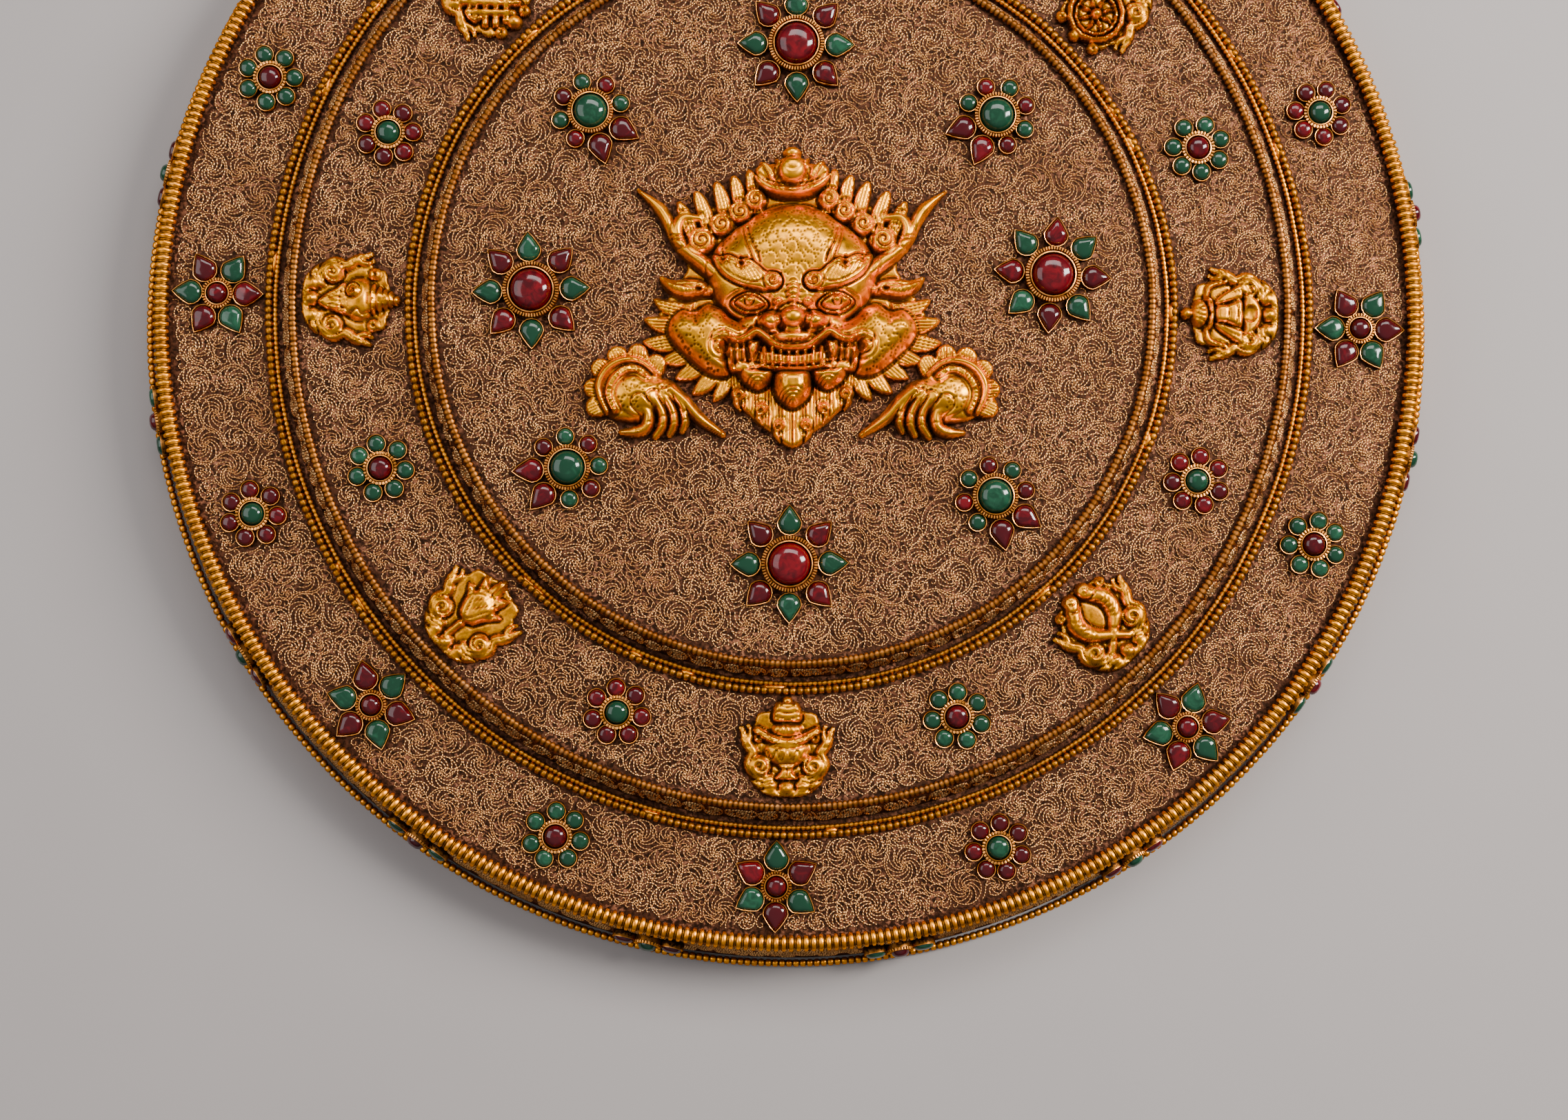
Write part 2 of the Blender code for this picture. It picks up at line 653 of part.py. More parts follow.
def hand(name, mirrored, finish):
    """One hand beside the beard: petalled cuff, palm, curled thumb and fingers, pointing forefinger."""
    relief = Relief(name, MASK_WIDTH / MASK_WIDTH_UNITS, SMALL_GRID, HAND_FACETS, mirrored)
    relief.dome(41.4, -26.2, 9.4, 7.4, 6.4, turn=8.0)
    relief.dome(35.0, -26.6, 5.8, 4.8, 5.6)
    cuff = [(50.8, -30.4), (52.4, -23.0), (46.0, -16.8), (37.4, -20.8)]
    relief.strand(cuff, (1.4, 2.3, 2.4, 1.3), (4.0, 4.9, 5.2, 3.6))
    for x, y in ((54.2, -24.8), (52.8, -18.2), (46.6, -14.2), (38.6, -16.0)):
        relief.dome(x, y, 3.4, 3.4, 2.8)
    fingers = (
        ([(40.6, -27.6), (39.8, -34.4), (46.6, -36.3)], (2.2, 1.9, 0.9), (5.4, 4.0, 2.2)),
        ([(37.6, -26.6), (35.4, -32.4), (37.6, -37.3)], (1.9, 1.6, 0.9), (5.6, 4.8, 2.2)),
        ([(34.8, -26.4), (32.4, -32.0), (33.8, -36.9)], (1.9, 1.6, 0.9), (5.6, 4.8, 2.2)),
        ([(32.4, -26.0), (29.6, -31.6), (30.6, -36.0)], (1.9, 1.5, 0.8), (5.4, 4.6, 2.2)),
        ([(34.4, -25.2), (26.6, -30.4), (19.2, -37.2)], (2.1, 1.7, 0.6), (5.6, 4.6, 1.8)),
    )
    for path, widths, rises in fingers:
        relief.strand(path, widths, rises)
    return relief.finish(Vector((*MASK_CENTRE, UPPER_HEIGHT + SEAT_GAP)), 0.0, finish)


def lotus_seat(relief):
    """The rounded lotus seat under a symbol, at the outer end of its length."""
    relief.dome(0.0, -10.8, 9.4, 4.1, 3.4)


def ribbons(relief):
    """The ribbon that flutters up each side of a symbol."""
    path = [(5.0, -7.8), (10.6, -5.0), (12.0, 4.4)]
    for side in (-1, 1):
        relief.strand([(side * x, y) for x, y in path], (2.0, 2.0, 0.7), (2.8, 3.0, 1.8))


def finial(relief):
    """The jewel that tops each symbol, pointing to the plaque's centre."""
    relief.dome(0.0, 11.2, 3.0, 3.1, 3.2)


def conch_shell(relief):
    """A conch with its whorls to the centre and its mouth drawn out."""
    relief.dome(0.0, 0.6, 7.4, 7.0, 4.2)
    relief.dome(0.0, -6.6, 3.8, 5.6, 3.4)
    relief.dome(0.0, 7.4, 5.0, 3.8, 3.8)


def endless_knot(relief):
    """A knot of crossing bands, set on a corner."""
    slant = 2**-0.5
    for lean in (-1, 1):
        for shift in (-3.2, 3.2):
            x, y = -lean * slant * shift, slant * shift + 0.8
            reach = 8.8 * slant
            ends = [(x - reach, y - lean * reach), (x + reach, y + lean * reach)]
            relief.strand(ends, (2.3, 2.3), (3.8 + 0.2 * lean, 3.8 + 0.2 * lean))
    relief.dome(0.0, 8.0, 2.8, 3.4, 3.0)
    relief.dome(0.0, -6.4, 2.8, 3.4, 3.0)


def parasol(relief):
    """A domed parasol over its valance."""
    relief.dome(0.0, 5.0, 9.4, 5.6, 4.2)
    relief.slab([(-8.8, 3.4), (-6.6, -3.6), (6.6, -3.6), (8.8, 3.4)], 3.0)
    relief.strand([(0.0, 0.0), (0.0, -11.0)], (1.6, 1.6), (3.6, 3.6))


def wheel(relief):
    """A wheel of eight spokes around its hub."""
    relief.dome(0.0, 0.8, 9.4, 9.4, 3.0)
    relief.dome(0.0, 0.8, 3.2, 3.2, 4.3)
    for lean in (-1, 1):
        relief.strand([(-7.8, 0.8 - 7.8 * lean), (7.8, 0.8 + 7.8 * lean)], (1.2, 1.2), (3.6, 3.6))
    relief.dome(0.0, 9.6, 2.6, 3.0, 3.0)


def victory_banner(relief):
    """A banner of three skirts, one over the other."""
    for y, half, rise in ((-4.6, 8.0, 3.4), (0.8, 7.0, 3.8), (6.6, 5.6, 4.2)):
        relief.dome(0.0, y, half, 4.4, rise)


def golden_fishes(relief):
    """Two fishes that cross nose to nose."""
    for side in (-1, 1):
        path = [(side * 9.0, 9.6), (side * 6.6, 2.0), (side * 2.6, -4.6), (side * -2.6, -8.6)]
        relief.strand(path, (1.2, 3.8, 3.6, 1.4), (2.4, 4.0 + 0.1 * side, 3.9 + 0.1 * side, 2.4))
    relief.dome(0.0, 4.0, 5.6, 7.0, 2.4)


def treasure_vase(relief):
    """A round vase on its foot, with a hanging collar and a lid."""
    relief.dome(0.0, -0.2, 7.0, 5.6, 4.2)
    relief.dome(0.0, -7.0, 3.4, 3.8, 3.2)
    relief.strand([(-8.8, 3.4), (0.0, 1.8), (8.8, 3.4)], (1.7, 1.7, 1.7), (3.2, 4.3, 3.2))
    relief.dome(0.0, 6.6, 4.6, 4.0, 3.8)


def lotus_blossom(relief):
    """A lotus blossom with its petals around a heart."""
    relief.dome(0.0, -0.6, 5.0, 7.4, 4.2)
    for i in range(5):
        x, y, _ = on_circle(5.6, pi * i / 4)
        relief.dome(x, y + 0.6, 3.8, 2.8, 3.2 + 0.1 * i, turn=45.0 * i)


SYMBOLS = (
    ("victory_banner", victory_banner),
    ("wheel", wheel),
    ("parasol", parasol),
    ("endless_knot", endless_knot),
    ("conch_shell", conch_shell),
    ("lotus_blossom", lotus_blossom),
    ("treasure_vase", treasure_vase),
    ("golden_fishes", golden_fishes),
)
SYMBOL_LENGTH_UNITS = 29.0


def symbols(finish):
    """The eight symbols on the middle ledge, each as long as the ledge leaves room for."""
    inner_edge = UPPER_FOOT_RADIUS + BASE_ROPES_WIDTH
    outer_edge = MIDDLE_TOP_RADIUS - TIER_RIM_ROPE
    unit = (outer_edge - inner_edge - 2 * SYMBOL_MARGIN) / SYMBOL_LENGTH_UNITS
    radius = (inner_edge + outer_edge) / 2
    for i, (name, forms) in enumerate(SYMBOLS):
        angle = radians(MIDDLE_TURN) + 2 * pi * i / RING_COUNT
        relief = Relief(name, unit, SMALL_GRID, SYMBOL_FACETS)
        forms(relief)
        lotus_seat(relief)
        ribbons(relief)
        finial(relief)
        relief.finish(on_circle(radius, angle, MIDDLE_HEIGHT + SEAT_GAP), angle + pi / 2, finish)


def main():
    """Build the plaque."""
    for old in list(bpy.data.objects):
        bpy.data.objects.remove(old, do_unlink=True)
    ground = material("dark_copper", (0.20, 0.11, 0.07), 0.6, 0.8)
    rope = material("gilt_rope", (0.62, 0.36, 0.12), 0.4, 1.0)
    gilt = material("gilt_relief", (0.80, 0.45, 0.12), 0.35, 1.0)
    green = material("green_stone", (0.02, 0.19, 0.12), 0.15, 0.0)
    red = material("red_stone", (0.16, 0.03, 0.02), 0.15, 0.0)

    lower = tier("lower_tier", LOWER_FOOT_RADIUS, LOWER_TOP_RADIUS, 0.0, LOWER_HEIGHT, ground)
    wall_bosses(lower, ground)
    middle_seat = LOWER_HEIGHT + SEAT_GAP
    tier("middle_tier", MIDDLE_FOOT_RADIUS, MIDDLE_TOP_RADIUS, middle_seat, MIDDLE_HEIGHT, ground)
    upper_seat = MIDDLE_HEIGHT + SEAT_GAP
    tier("upper_tier", UPPER_FOOT_RADIUS, UPPER_TOP_RADIUS, upper_seat, UPPER_HEIGHT, ground)
    foot_rope("foot_rope", rope)
    rim_rope("lower_rim_rope", LOWER_TOP_RADIUS, LOWER_RIM_ROPE, LOWER_RIM_OVERHANG, LOWER_HEIGHT, rope)
    rim_rope("middle_rim_rope", MIDDLE_TOP_RADIUS, TIER_RIM_ROPE, 0.0, MIDDLE_HEIGHT, rope)
    rim_rope("upper_rim_rope", UPPER_TOP_RADIUS, TIER_RIM_ROPE, 0.0, UPPER_HEIGHT, rope)
    base_ropes("middle_base_ropes", MIDDLE_FOOT_RADIUS, LOWER_HEIGHT, rope)
    base_ropes("upper_base_ropes", UPPER_FOOT_RADIUS, MIDDLE_HEIGHT, rope)
    lower_flowers(green, red)
    middle_flowers(green, red)
    upper_flowers(green, red)
    symbols(gilt)
    cheppu_mask(gilt)
    hand("right_hand", False, gilt)
    hand("left_hand", True, gilt)


if __name__ == "__main__":
    main()
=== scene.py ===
"""Looks of the round filigree plaque with its cheppu mask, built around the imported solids.

Every size is in millimetres in the plaque's own frame, +Z out of its face and +Y towards the
mask's crown, and becomes metres only when a mesh is made.
"""

from __future__ import annotations

import json
import logging
from collections.abc import Callable, Sequence
from dataclasses import dataclass, field
from enum import Enum
from math import atan2, cos, hypot, log, pi, radians, sin, tan

import bpy
import numpy as np
from mathutils import Matrix

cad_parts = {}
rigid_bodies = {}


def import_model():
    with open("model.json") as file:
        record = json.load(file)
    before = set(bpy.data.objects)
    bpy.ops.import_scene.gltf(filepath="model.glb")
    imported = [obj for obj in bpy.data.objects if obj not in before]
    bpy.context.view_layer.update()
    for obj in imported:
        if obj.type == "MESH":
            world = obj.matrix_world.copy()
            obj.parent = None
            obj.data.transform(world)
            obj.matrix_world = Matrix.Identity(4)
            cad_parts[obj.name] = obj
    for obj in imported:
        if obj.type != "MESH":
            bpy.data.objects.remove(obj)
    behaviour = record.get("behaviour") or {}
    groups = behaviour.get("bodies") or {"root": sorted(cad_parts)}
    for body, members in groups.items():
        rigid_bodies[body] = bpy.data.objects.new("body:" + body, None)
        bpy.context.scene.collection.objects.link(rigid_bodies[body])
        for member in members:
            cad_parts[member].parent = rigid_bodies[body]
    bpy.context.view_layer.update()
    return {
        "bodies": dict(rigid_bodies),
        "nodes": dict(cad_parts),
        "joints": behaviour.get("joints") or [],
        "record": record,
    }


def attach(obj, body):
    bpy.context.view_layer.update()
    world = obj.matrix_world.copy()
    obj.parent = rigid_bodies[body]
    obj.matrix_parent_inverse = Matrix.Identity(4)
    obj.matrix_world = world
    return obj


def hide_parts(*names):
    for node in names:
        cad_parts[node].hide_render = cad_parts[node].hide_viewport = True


Array = np.ndarray
Point = tuple[float, float]
Triple = tuple[float, float, float]
Colour = Triple
Line = Sequence[Point] | Array
Surface = Callable[[Array, Array, Array], Array]
Finish = bpy.types.Material
Socket = bpy.types.NodeSocket
Rng = np.random.Generator

MM = 0.001
TONE = "tone"
LOG = logging.getLogger("plaque")

# Tiers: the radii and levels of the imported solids
LOWER_FOOT, LOWER_TOP, LOWER_LEVEL = 184.8, 179.6, 18.8
MIDDLE_FOOT, MIDDLE_TOP, MIDDLE_LEVEL = 144.2, 141.0, 26.0
UPPER_FOOT, UPPER_TOP, UPPER_LEVEL = 103.8, 101.3, 33.0
# Where the filigree of each ledge ends, inside its rim rope and outside its base ropes
LOWER_EDGE, MIDDLE_EDGE, UPPER_EDGE, BASE_BAND = 175.0, 138.1, 98.3, 5.3
# Rings of flowers and symbols, and how far they are turned in degrees
LOWER_RING, MIDDLE_RING, BIG_RING, MIXED_RING = 162.3, 123.5, 72.6, 77.5
OUTER_TURN, MIDDLE_TURN = -1.6, -0.8
# How deep a flower and a tier are let into what lies below, and how high a relief stands over it
SEAT, TIER_SEAT, MASK_LIFT, SYMBOL_LIFT = 0.05, 0.3, 0.3, 0.25
MASK_PLACE = Matrix.Translation((-0.3, 0, UPPER_LEVEL + MASK_LIFT))
# The room left around a point of a relief, and how far from a wire the room is measured
RELIEF_ROOM, WIRE_REACH = 0.75, 2.6


# Geometry helpers


def smooth(points: Line, steps: int = 6, closed: bool = False) -> Array:
    """Draw a smooth line through some points.

    Args:
        points: the points that it passes through.
        steps: how many pieces lie between two of them, 0 to leave the points as they are.
        closed: whether it runs back to its start.

    Returns:
        The points of the line, shape (n, 2).
    """
    knots = np.asarray(points, float)
    if not steps:
        return knots
    if closed:
        knots = np.vstack([knots[-1], knots, knots[:2]])
    else:
        knots = np.vstack([2 * knots[0] - knots[1], knots, 2 * knots[-1] - knots[-2]])
    t = (np.arange(steps) / steps)[:, None]
    line = []
    for a, b, c, d in zip(knots, knots[1:], knots[2:], knots[3:]):
        bend = (2 * a - 5 * b + 4 * c - d) * t**2 + (3 * (b - c) + d - a) * t**3
        line.append(0.5 * (2 * b + (c - a) * t + bend))
    line = np.vstack(line)
    return line if closed else np.vstack([line, knots[-2]])


def nearest(path: Array, x: Array, y: Array) -> tuple[Array, Array]:
    """Measure how far points lie from a line.

    Args:
        path: the line's points.
        x: the points' x.
        y: the points' y.

    Returns:
        The distance of each point, and where along the line it is nearest, from 0 to 1.
    """
    away = np.full(x.shape, 1e3)
    share = np.zeros(x.shape)
    for i, ((x0, y0), (x1, y1)) in enumerate(zip(path, path[1:])):
        run_x, run_y = x1 - x0, y1 - y0
        along = ((x - x0) * run_x + (y - y0) * run_y) / max(run_x**2 + run_y**2, 1e-9)
        along = np.clip(along, 0, 1)
        here = np.hypot(x - x0 - along * run_x, y - y0 - along * run_y)
        closer = here < away
        away = np.where(closer, here, away)
        share = np.where(closer, (i + along) / (len(path) - 1), share)
    return away, share


def within(outline: Array, x: Array, y: Array) -> Array:
    """Measure how far inside a closed outline points lie.

    Args:
        outline: the outline's points, in order.
        x: the points' x.
        y: the points' y.

    Returns:
        The distance to the outline, negative outside it.
    """
    closed = np.vstack([outline, outline[:1]])
    odd = np.zeros(x.shape, bool)
    for (x0, y0), (x1, y1) in zip(closed, closed[1:]):
        if y0 != y1:
            crosses = (y0 > y) != (y1 > y)
            odd ^= crosses & (x < (x1 - x0) * (y - y0) / (y1 - y0) + x0)
    away = nearest(closed, x, y)[0]
    return np.where(odd, away, -away)


def arc(x: float, y: float, radius: float, start: float, sweep: float, inner: float = 1.0) -> Array:
    """Draw an arc or a spiral.

    Args:
        x: the centre's x.
        y: the centre's y.
        radius: the radius at its start.
        start: the angle of its start in degrees.
        sweep: how far it runs, in degrees anticlockwise.
        inner: the share of the radius left at its end.

    Returns:
        The points of the arc.
    """
    t = np.linspace(0, 1, max(5, int(abs(sweep) / 24)))
    angle = np.radians(start + sweep * t)
    reach = radius * (1 + (inner - 1) * t)
    return np.stack([x + reach * np.cos(angle), y + reach * np.sin(angle)], 1)


class Tip(Enum):
    """How a leaf ends: the power of its taper, and how blunt that is."""

    ROUND = (4.0, 0.5)
    SOFT = (3.0, 0.65)
    SHARP = (1.7, 0.9)


def leaf(
    start: Point, end: Point, half: float, bend: float = 0.0, root: float = 0.7, tip: Tip = Tip.SHARP,
) -> Array:
    """Outline a leaf or a petal.

    Args:
        start: the middle of its root.
        end: its tip.
        half: its greatest half width.
        bend: how far its middle swings to the left, as a share of its length.
        root: the half width at its root, as a share.
        tip: how it ends.

    Returns:
        The outline's points.
    """
    foot, far = np.array(start, float), np.array(end, float)
    run = far - foot
    side = np.array([-run[1], run[0]])
    across = side / np.hypot(*side)
    t = np.array([0, 0.15, 0.3, 0.45, 0.6, 0.72, 0.82, 0.9, 0.95, 0.985, 1.0])[:, None]
    spine = foot + run * t + side * bend * 4 * t * (1 - t)
    power, blunt = tip.value
    width = half * (root + (1 - root) * np.sin(pi / 2 * np.minimum(t / 0.45, 1))) * (1 - t**power) ** blunt
    return np.vstack([spine - across * width, (spine + across * width)[-2::-1]])


def sided(way: int, points: Sequence[Point]) -> list[Point]:
    """Points as they are for 1, and from the other side for -1."""
    return [(way * x, y) for x, y in points]


def whole(right: Sequence[Point]) -> list[Point]:
    """A closed outline from its right half, given from the top down."""
    return [*right, *sided(-1, [spot for spot in right[::-1] if abs(spot[0]) > 0.01])]


def span(low: float, high: float, start: float, cell: float, count: int) -> slice:
    """The part of a grid's side between two values."""
    first, last = (int(np.clip((edge - start) / cell, 0, count)) for edge in (low, high + cell))
    return slice(first, last)


class Shell:
    """Vertices and faces gathered for one mesh, in millimetres.

    Each vertex carries a tone, which its finish reads: on a chased or beaded piece, how deep it lies,
    drawn as patina and painted shade in creases and gaps and as painted shade on low ground, under
    ropes and at the feet of bezels; how far along it is on a wire; and the tint of its stone on a cabochon.
    """

    def __init__(self) -> None:
        """Start with nothing in it."""
        self.points: list[Array] = []
        self.tones: list[Array] = []
        self.faces: dict[int, list[Array]] = {3: [], 4: []}
        self.count = 0

    def add(self, points: Array, faces: Sequence[Array], tone: Array | float = 0.0) -> None:
        """Add some vertices with their faces.

        Args:
            points: the vertices.
            faces: arrays of triangles or of quads, as numbers of these vertices.
            tone: the vertices' tone, or one tone for all.
        """
        points = np.asarray(points, float).reshape(-1, 3)
        for some in faces:
            self.faces[some.shape[1]].append(some + self.count)
        self.points.append(points)
        self.tones.append(np.broadcast_to(np.ravel(tone), len(points)))
        self.count += len(points)

    def skin(
        self, rows: Array, tone: Array | float = 0.0, close: tuple[bool, bool] = (False, True),
        cap: bool = False,
    ) -> None:
        """Skin rows of points, laid anticlockwise from the inside of the surface's front.

        Args:
            rows: the points, shape (rows, columns, 3).
            tone: a tone for each point, or one for all.
            close: whether the last row meets the first, and the last column the first.
            cap: whether the last row is drawn together to its middle.
        """
        count, columns = rows.shape[:2]
        index = np.arange(count * columns).reshape(count, columns)
        if close[0]:
            index = np.vstack([index, index[:1]])
        if close[1]:
            index = np.hstack([index, index[:, :1]])
        quads = np.stack([index[:-1, :-1], index[:-1, 1:], index[1:, 1:], index[1:, :-1]], -1)
        faces = [quads.reshape(-1, 4)]
        points = rows.reshape(-1, 3)
        tone = np.broadcast_to(tone, rows.shape[:2]).ravel()
        if cap:
            last = index[-1]
            faces.append(np.stack([last[:-1], last[1:], np.full(len(last) - 1, len(points))], -1))
            points = np.vstack([points, rows[-1].mean(0)])
            tone = np.append(tone, tone[-columns:].mean())
        self.add(points, faces, tone)

    def piece(
        self, name: str, finish: Finish, slot: str, nodes: Sequence[str] = (), sharp: float = 40.0,
    ) -> bpy.types.Object:
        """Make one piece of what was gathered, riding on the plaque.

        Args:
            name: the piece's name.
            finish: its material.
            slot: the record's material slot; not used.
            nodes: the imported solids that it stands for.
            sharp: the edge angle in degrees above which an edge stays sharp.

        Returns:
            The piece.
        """
        points = np.concatenate(self.points)
        groups = [np.concatenate(some) for some in self.faces.values() if some]
        used, place = np.unique(np.concatenate([some.ravel() for some in groups]), return_inverse=True)
        sizes = np.concatenate([np.full(len(some), some.shape[1]) for some in groups])
        mesh = bpy.data.meshes.new(name)
        mesh.vertices.add(len(used))
        mesh.vertices.foreach_set("co", (points[used] * MM).astype(np.float32).ravel())
        mesh.loops.add(len(place))
        mesh.loops.foreach_set("vertex_index", place.ravel().astype(np.int32))
        mesh.polygons.add(len(sizes))
        mesh.polygons.foreach_set("loop_start", np.concatenate([[0], np.cumsum(sizes)[:-1]]).astype(np.int32))
        mesh.update(calc_edges=True)
        mesh.attributes.new(TONE, "FLOAT", "POINT")
        mesh.attributes[TONE].data.foreach_set("value", np.concatenate(self.tones)[used].astype(np.float32))
        mesh.shade_smooth()
        mesh.set_sharp_from_angle(angle=radians(sharp))
        mesh.materials.append(finish)
        made = bpy.data.objects.new(name, mesh)
        bpy.context.scene.collection.objects.link(made)
        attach(made, "root")
        if nodes:
            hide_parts(*nodes)
        LOG.info("%s: %d triangles", name, int((sizes - 2).sum()))
        return made


# Finishes


class Bench:
    """Sets out the shader nodes of one material."""

    def __init__(self, name: str, roughness: float, metallic: float, edge: Colour = (1.0, 1.0, 1.0)) -> None:
        """Start a material.

        Args:
            name: its name.
            roughness: its roughness, where no nodes set it.
            metallic: how much of it is metal.
            edge: the colour that it takes where it is seen edge-on.
        """
        self.material = bpy.data.materials.new(name)
        self.material.use_nodes = True
        self.tree = self.material.node_tree
        self.shader = self.tree.nodes["Principled BSDF"]
        self.shader.inputs["Roughness"].default_value = roughness
        self.shader.inputs["Metallic"].default_value = metallic
        self.shader.inputs["Specular Tint"].default_value = (*edge, 1.0)
        self.place = self.tree.nodes.new("ShaderNodeTexCoord").outputs["Object"]

    def node(self, kind: str, out: str | int, inputs: dict[str | int, object], **settings: object) -> Socket:
        """Add a node.

        Args:
            kind: the node's type, without its ShaderNode.
            out: the name or number of the output that is wanted.
            inputs: a value or another node's output for each input.
            settings: the node's own settings.

        Returns:
            The wanted output.
        """
        made = self.tree.nodes.new("ShaderNode" + kind)
        for key, value in settings.items():
            setattr(made, key, value)
        for key, value in inputs.items():
            if isinstance(value, Socket):
                self.tree.links.new(value, made.inputs[key])
            else:
                made.inputs[key].default_value = value
        return made.outputs[out]

    def noise(self, size: float, detail: float = 3.0, warp: float = 0.0) -> Socket:
        """A noise whose blotches are about this many millimetres wide."""
        inputs = {"Vector": self.place, "Scale": 1 / (size * MM), "Detail": detail, "Distortion": warp}
        return self.node("TexNoise", "Fac", inputs)

    def cloud(self, size: float, detail: float, warp: float, *ends: float) -> Socket:
        """Such a noise, spread as the ends say."""
        return self.spread(self.noise(size, detail, warp), *ends)

    def tone(self) -> Socket:
        """The tone that the mesh carries."""
        return self.node("Attribute", "Fac", {}, attribute_name=TONE)

    def spread(self, value: Socket, low: float, high: float, least: float = 0.0, most: float = 1.0) -> Socket:
        """Spread a value from low..high to least..most."""
        inputs = {"Value": value, "From Min": low, "From Max": high, "To Min": least, "To Max": most}
        return self.node("MapRange", "Result", inputs)

    def maths(self, operation: str, first: object, second: object = 0.0) -> Socket:
        """Join two values by a sum."""
        return self.node("Math", "Value", {0: first, 1: second}, operation=operation)

    def blend(self, share: object, first: object, second: object) -> Socket:
        """Blend two colours."""
        # By number, because several of this node's sockets share a name
        return self.node("Mix", 2, {0: share, 6: full(first), 7: full(second)}, data_type="RGBA")

    def dress(
        self, colour: Socket, roughness: Socket | None = None, height: Socket | None = None,
        depth: float = 0.1, strength: float = 0.6,
    ) -> Finish:
        """Join the colour, roughness and relief to the shader.

        Args:
            colour: the base colour.
            roughness: the roughness, if it varies.
            height: the height of the fine relief, if there is any.
            depth: how deep that relief is in millimetres.
            strength: how much of it shows.

        Returns:
            The finished material.
        """
        self.tree.links.new(colour, self.shader.inputs["Base Color"])
        if roughness:
            self.tree.links.new(roughness, self.shader.inputs["Roughness"])
        if height:
            inputs = {"Height": height, "Distance": depth * MM, "Strength": strength}
            self.tree.links.new(self.node("Bump", "Normal", inputs), self.shader.inputs["Normal"])
        return self.material


def full(colour: object) -> object:
    """A colour with its alpha, where it is given as three numbers."""
    return (*colour, 1.0) if isinstance(colour, tuple) and len(colour) == 3 else colour


@dataclass(frozen=True)
class CopperSheet:
    """Dark matte copper, mottled with bare patches."""

    dark: Colour = (0.012, 0.005, 0.003)
    warm: Colour = (0.072, 0.026, 0.013)
    bare: Colour = (0.36, 0.145, 0.075)

    def build(self) -> Finish:
        """Make the material.

        Returns:
            The material.
        """
        bench = Bench("dark_copper_sheet", 0.6, 0.75, (0.9, 0.5, 0.3))
        grain = bench.noise(1.1, 5.0, 0.5)
        colour = bench.blend(bench.spread(grain, 0.36, 0.60), self.dark, self.warm)
        patches = bench.maths(
            "MULTIPLY", bench.cloud(9.0, 3.0, 0.8, 0.42, 0.62), bench.spread(grain, 0.50, 0.66, 0.0, 0.85),
        )
        colour = bench.blend(patches, colour, self.bare)
        rough = bench.cloud(1.4, 4.0, 0.0, 0.35, 0.7, 0.42, 0.72)
        return bench.dress(colour, rough, grain, 0.22, 0.8)


@dataclass(frozen=True)
class TwistedWire:
    """Pale worn gilt wire, two strands twisted, the twist drawn with painted highlights and painted shade."""

    # The crest colour is a painted highlight on each strand, the groove colour painted shade between the
    # strands; the tarnish is real wear.
    crest: Colour = (0.97, 0.54, 0.205)
    groove: Colour = (0.16, 0.060, 0.020)
    tarnish: Colour = (0.38, 0.165, 0.055)
    twist: float = 0.8

    def build(self) -> Finish:
        """Make the material.

        Returns:
            The material.
        """
        bench = Bench("twisted_gilt_wire", 0.42, 0.9, (1.0, 0.68, 0.38))
        # Painted light along the twist: highlight on the strands' crests, shade in the grooves between them.
        turns = bench.maths("MULTIPLY", bench.tone(), 2 * pi / self.twist)
        strands = bench.maths("SINE", turns)
        colour = bench.blend(bench.spread(strands, -0.9, 0.5), self.groove, self.crest)
        worn = bench.cloud(14.0, 5.0, 0.7, 0.42, 0.66, 0.0, 0.8)
        colour = bench.blend(worn, colour, self.tarnish)
        rough = bench.cloud(2.0, 3.0, 0.0, 0.3, 0.7, 0.34, 0.52)
        return bench.dress(colour, rough, strands, 0.07, 0.8)


@dataclass(frozen=True)
class Gilt:
    """Fire-gilt metal, mottled between its crest and mid colours and darkened by its tone to patina and
    painted shade.
    """

    name: str
    crest: Colour
    mid: Colour
    patina_and_shade: Colour
    rough: tuple[float, float] = (0.24, 0.42)
    patch: Colour = (0.80, 0.50, 0.32)
    patches: float = 0.5
    grain: float = 0.05

    def build(self) -> Finish:
        """Make the material.

        Returns:
            The material.
        """
        bench = Bench(self.name, 0.3, 1.0, (1.0, 0.60, 0.15))
        tone = bench.tone()
        blotch = bench.cloud(4.0, 5.0, 0.8, 0.43, 0.58)
        colour = bench.blend(blotch, self.mid, self.crest)
        bare = bench.cloud(6.0, 4.0, 1.2, 0.60, 0.70, 0.0, self.patches)
        colour = bench.blend(bare, colour, self.patch)
        # Where the tone is high the colour goes to the brown of patina and painted shade: patina in the
        # creases, painted shade on low ground, between beads, under ropes and at the feet of bezels.
        shade_and_speck = bench.maths("ADD", tone, bench.cloud(0.9, 4.0, 0.0, 0.45, 0.75, -0.06, 0.22))
        colour = bench.blend(bench.spread(shade_and_speck, 0.12, 0.75), colour, self.patina_and_shade)
        rough = bench.maths(
            "ADD", bench.cloud(2.2, 4.0, 0.0, 0.3, 0.7, *self.rough), bench.maths("MULTIPLY", tone, 0.25),
        )
        return bench.dress(colour, rough, bench.noise(0.8, 3.0), self.grain, 0.6)


@dataclass(frozen=True)
class Cabochon:
    """Polished opaque stone with a little cloud in it."""

    name: str
    deep: Colour
    light: Colour

    def build(self) -> Finish:
        """Make the material.

        Returns:
            The material.
        """
        bench = Bench(self.name, 0.1, 0.0)
        cloud = bench.cloud(3.0, 5.0, 1.5, 0.3, 0.75, -0.15, 0.35)
        share = bench.maths("ADD", cloud, bench.tone())
        colour = bench.blend(bench.spread(share, 0.0, 1.1), self.deep, self.light)
        rough = bench.cloud(1.6, 4.0, 0.0, 0.4, 0.8, 0.07, 0.2)
        return bench.dress(colour, rough)


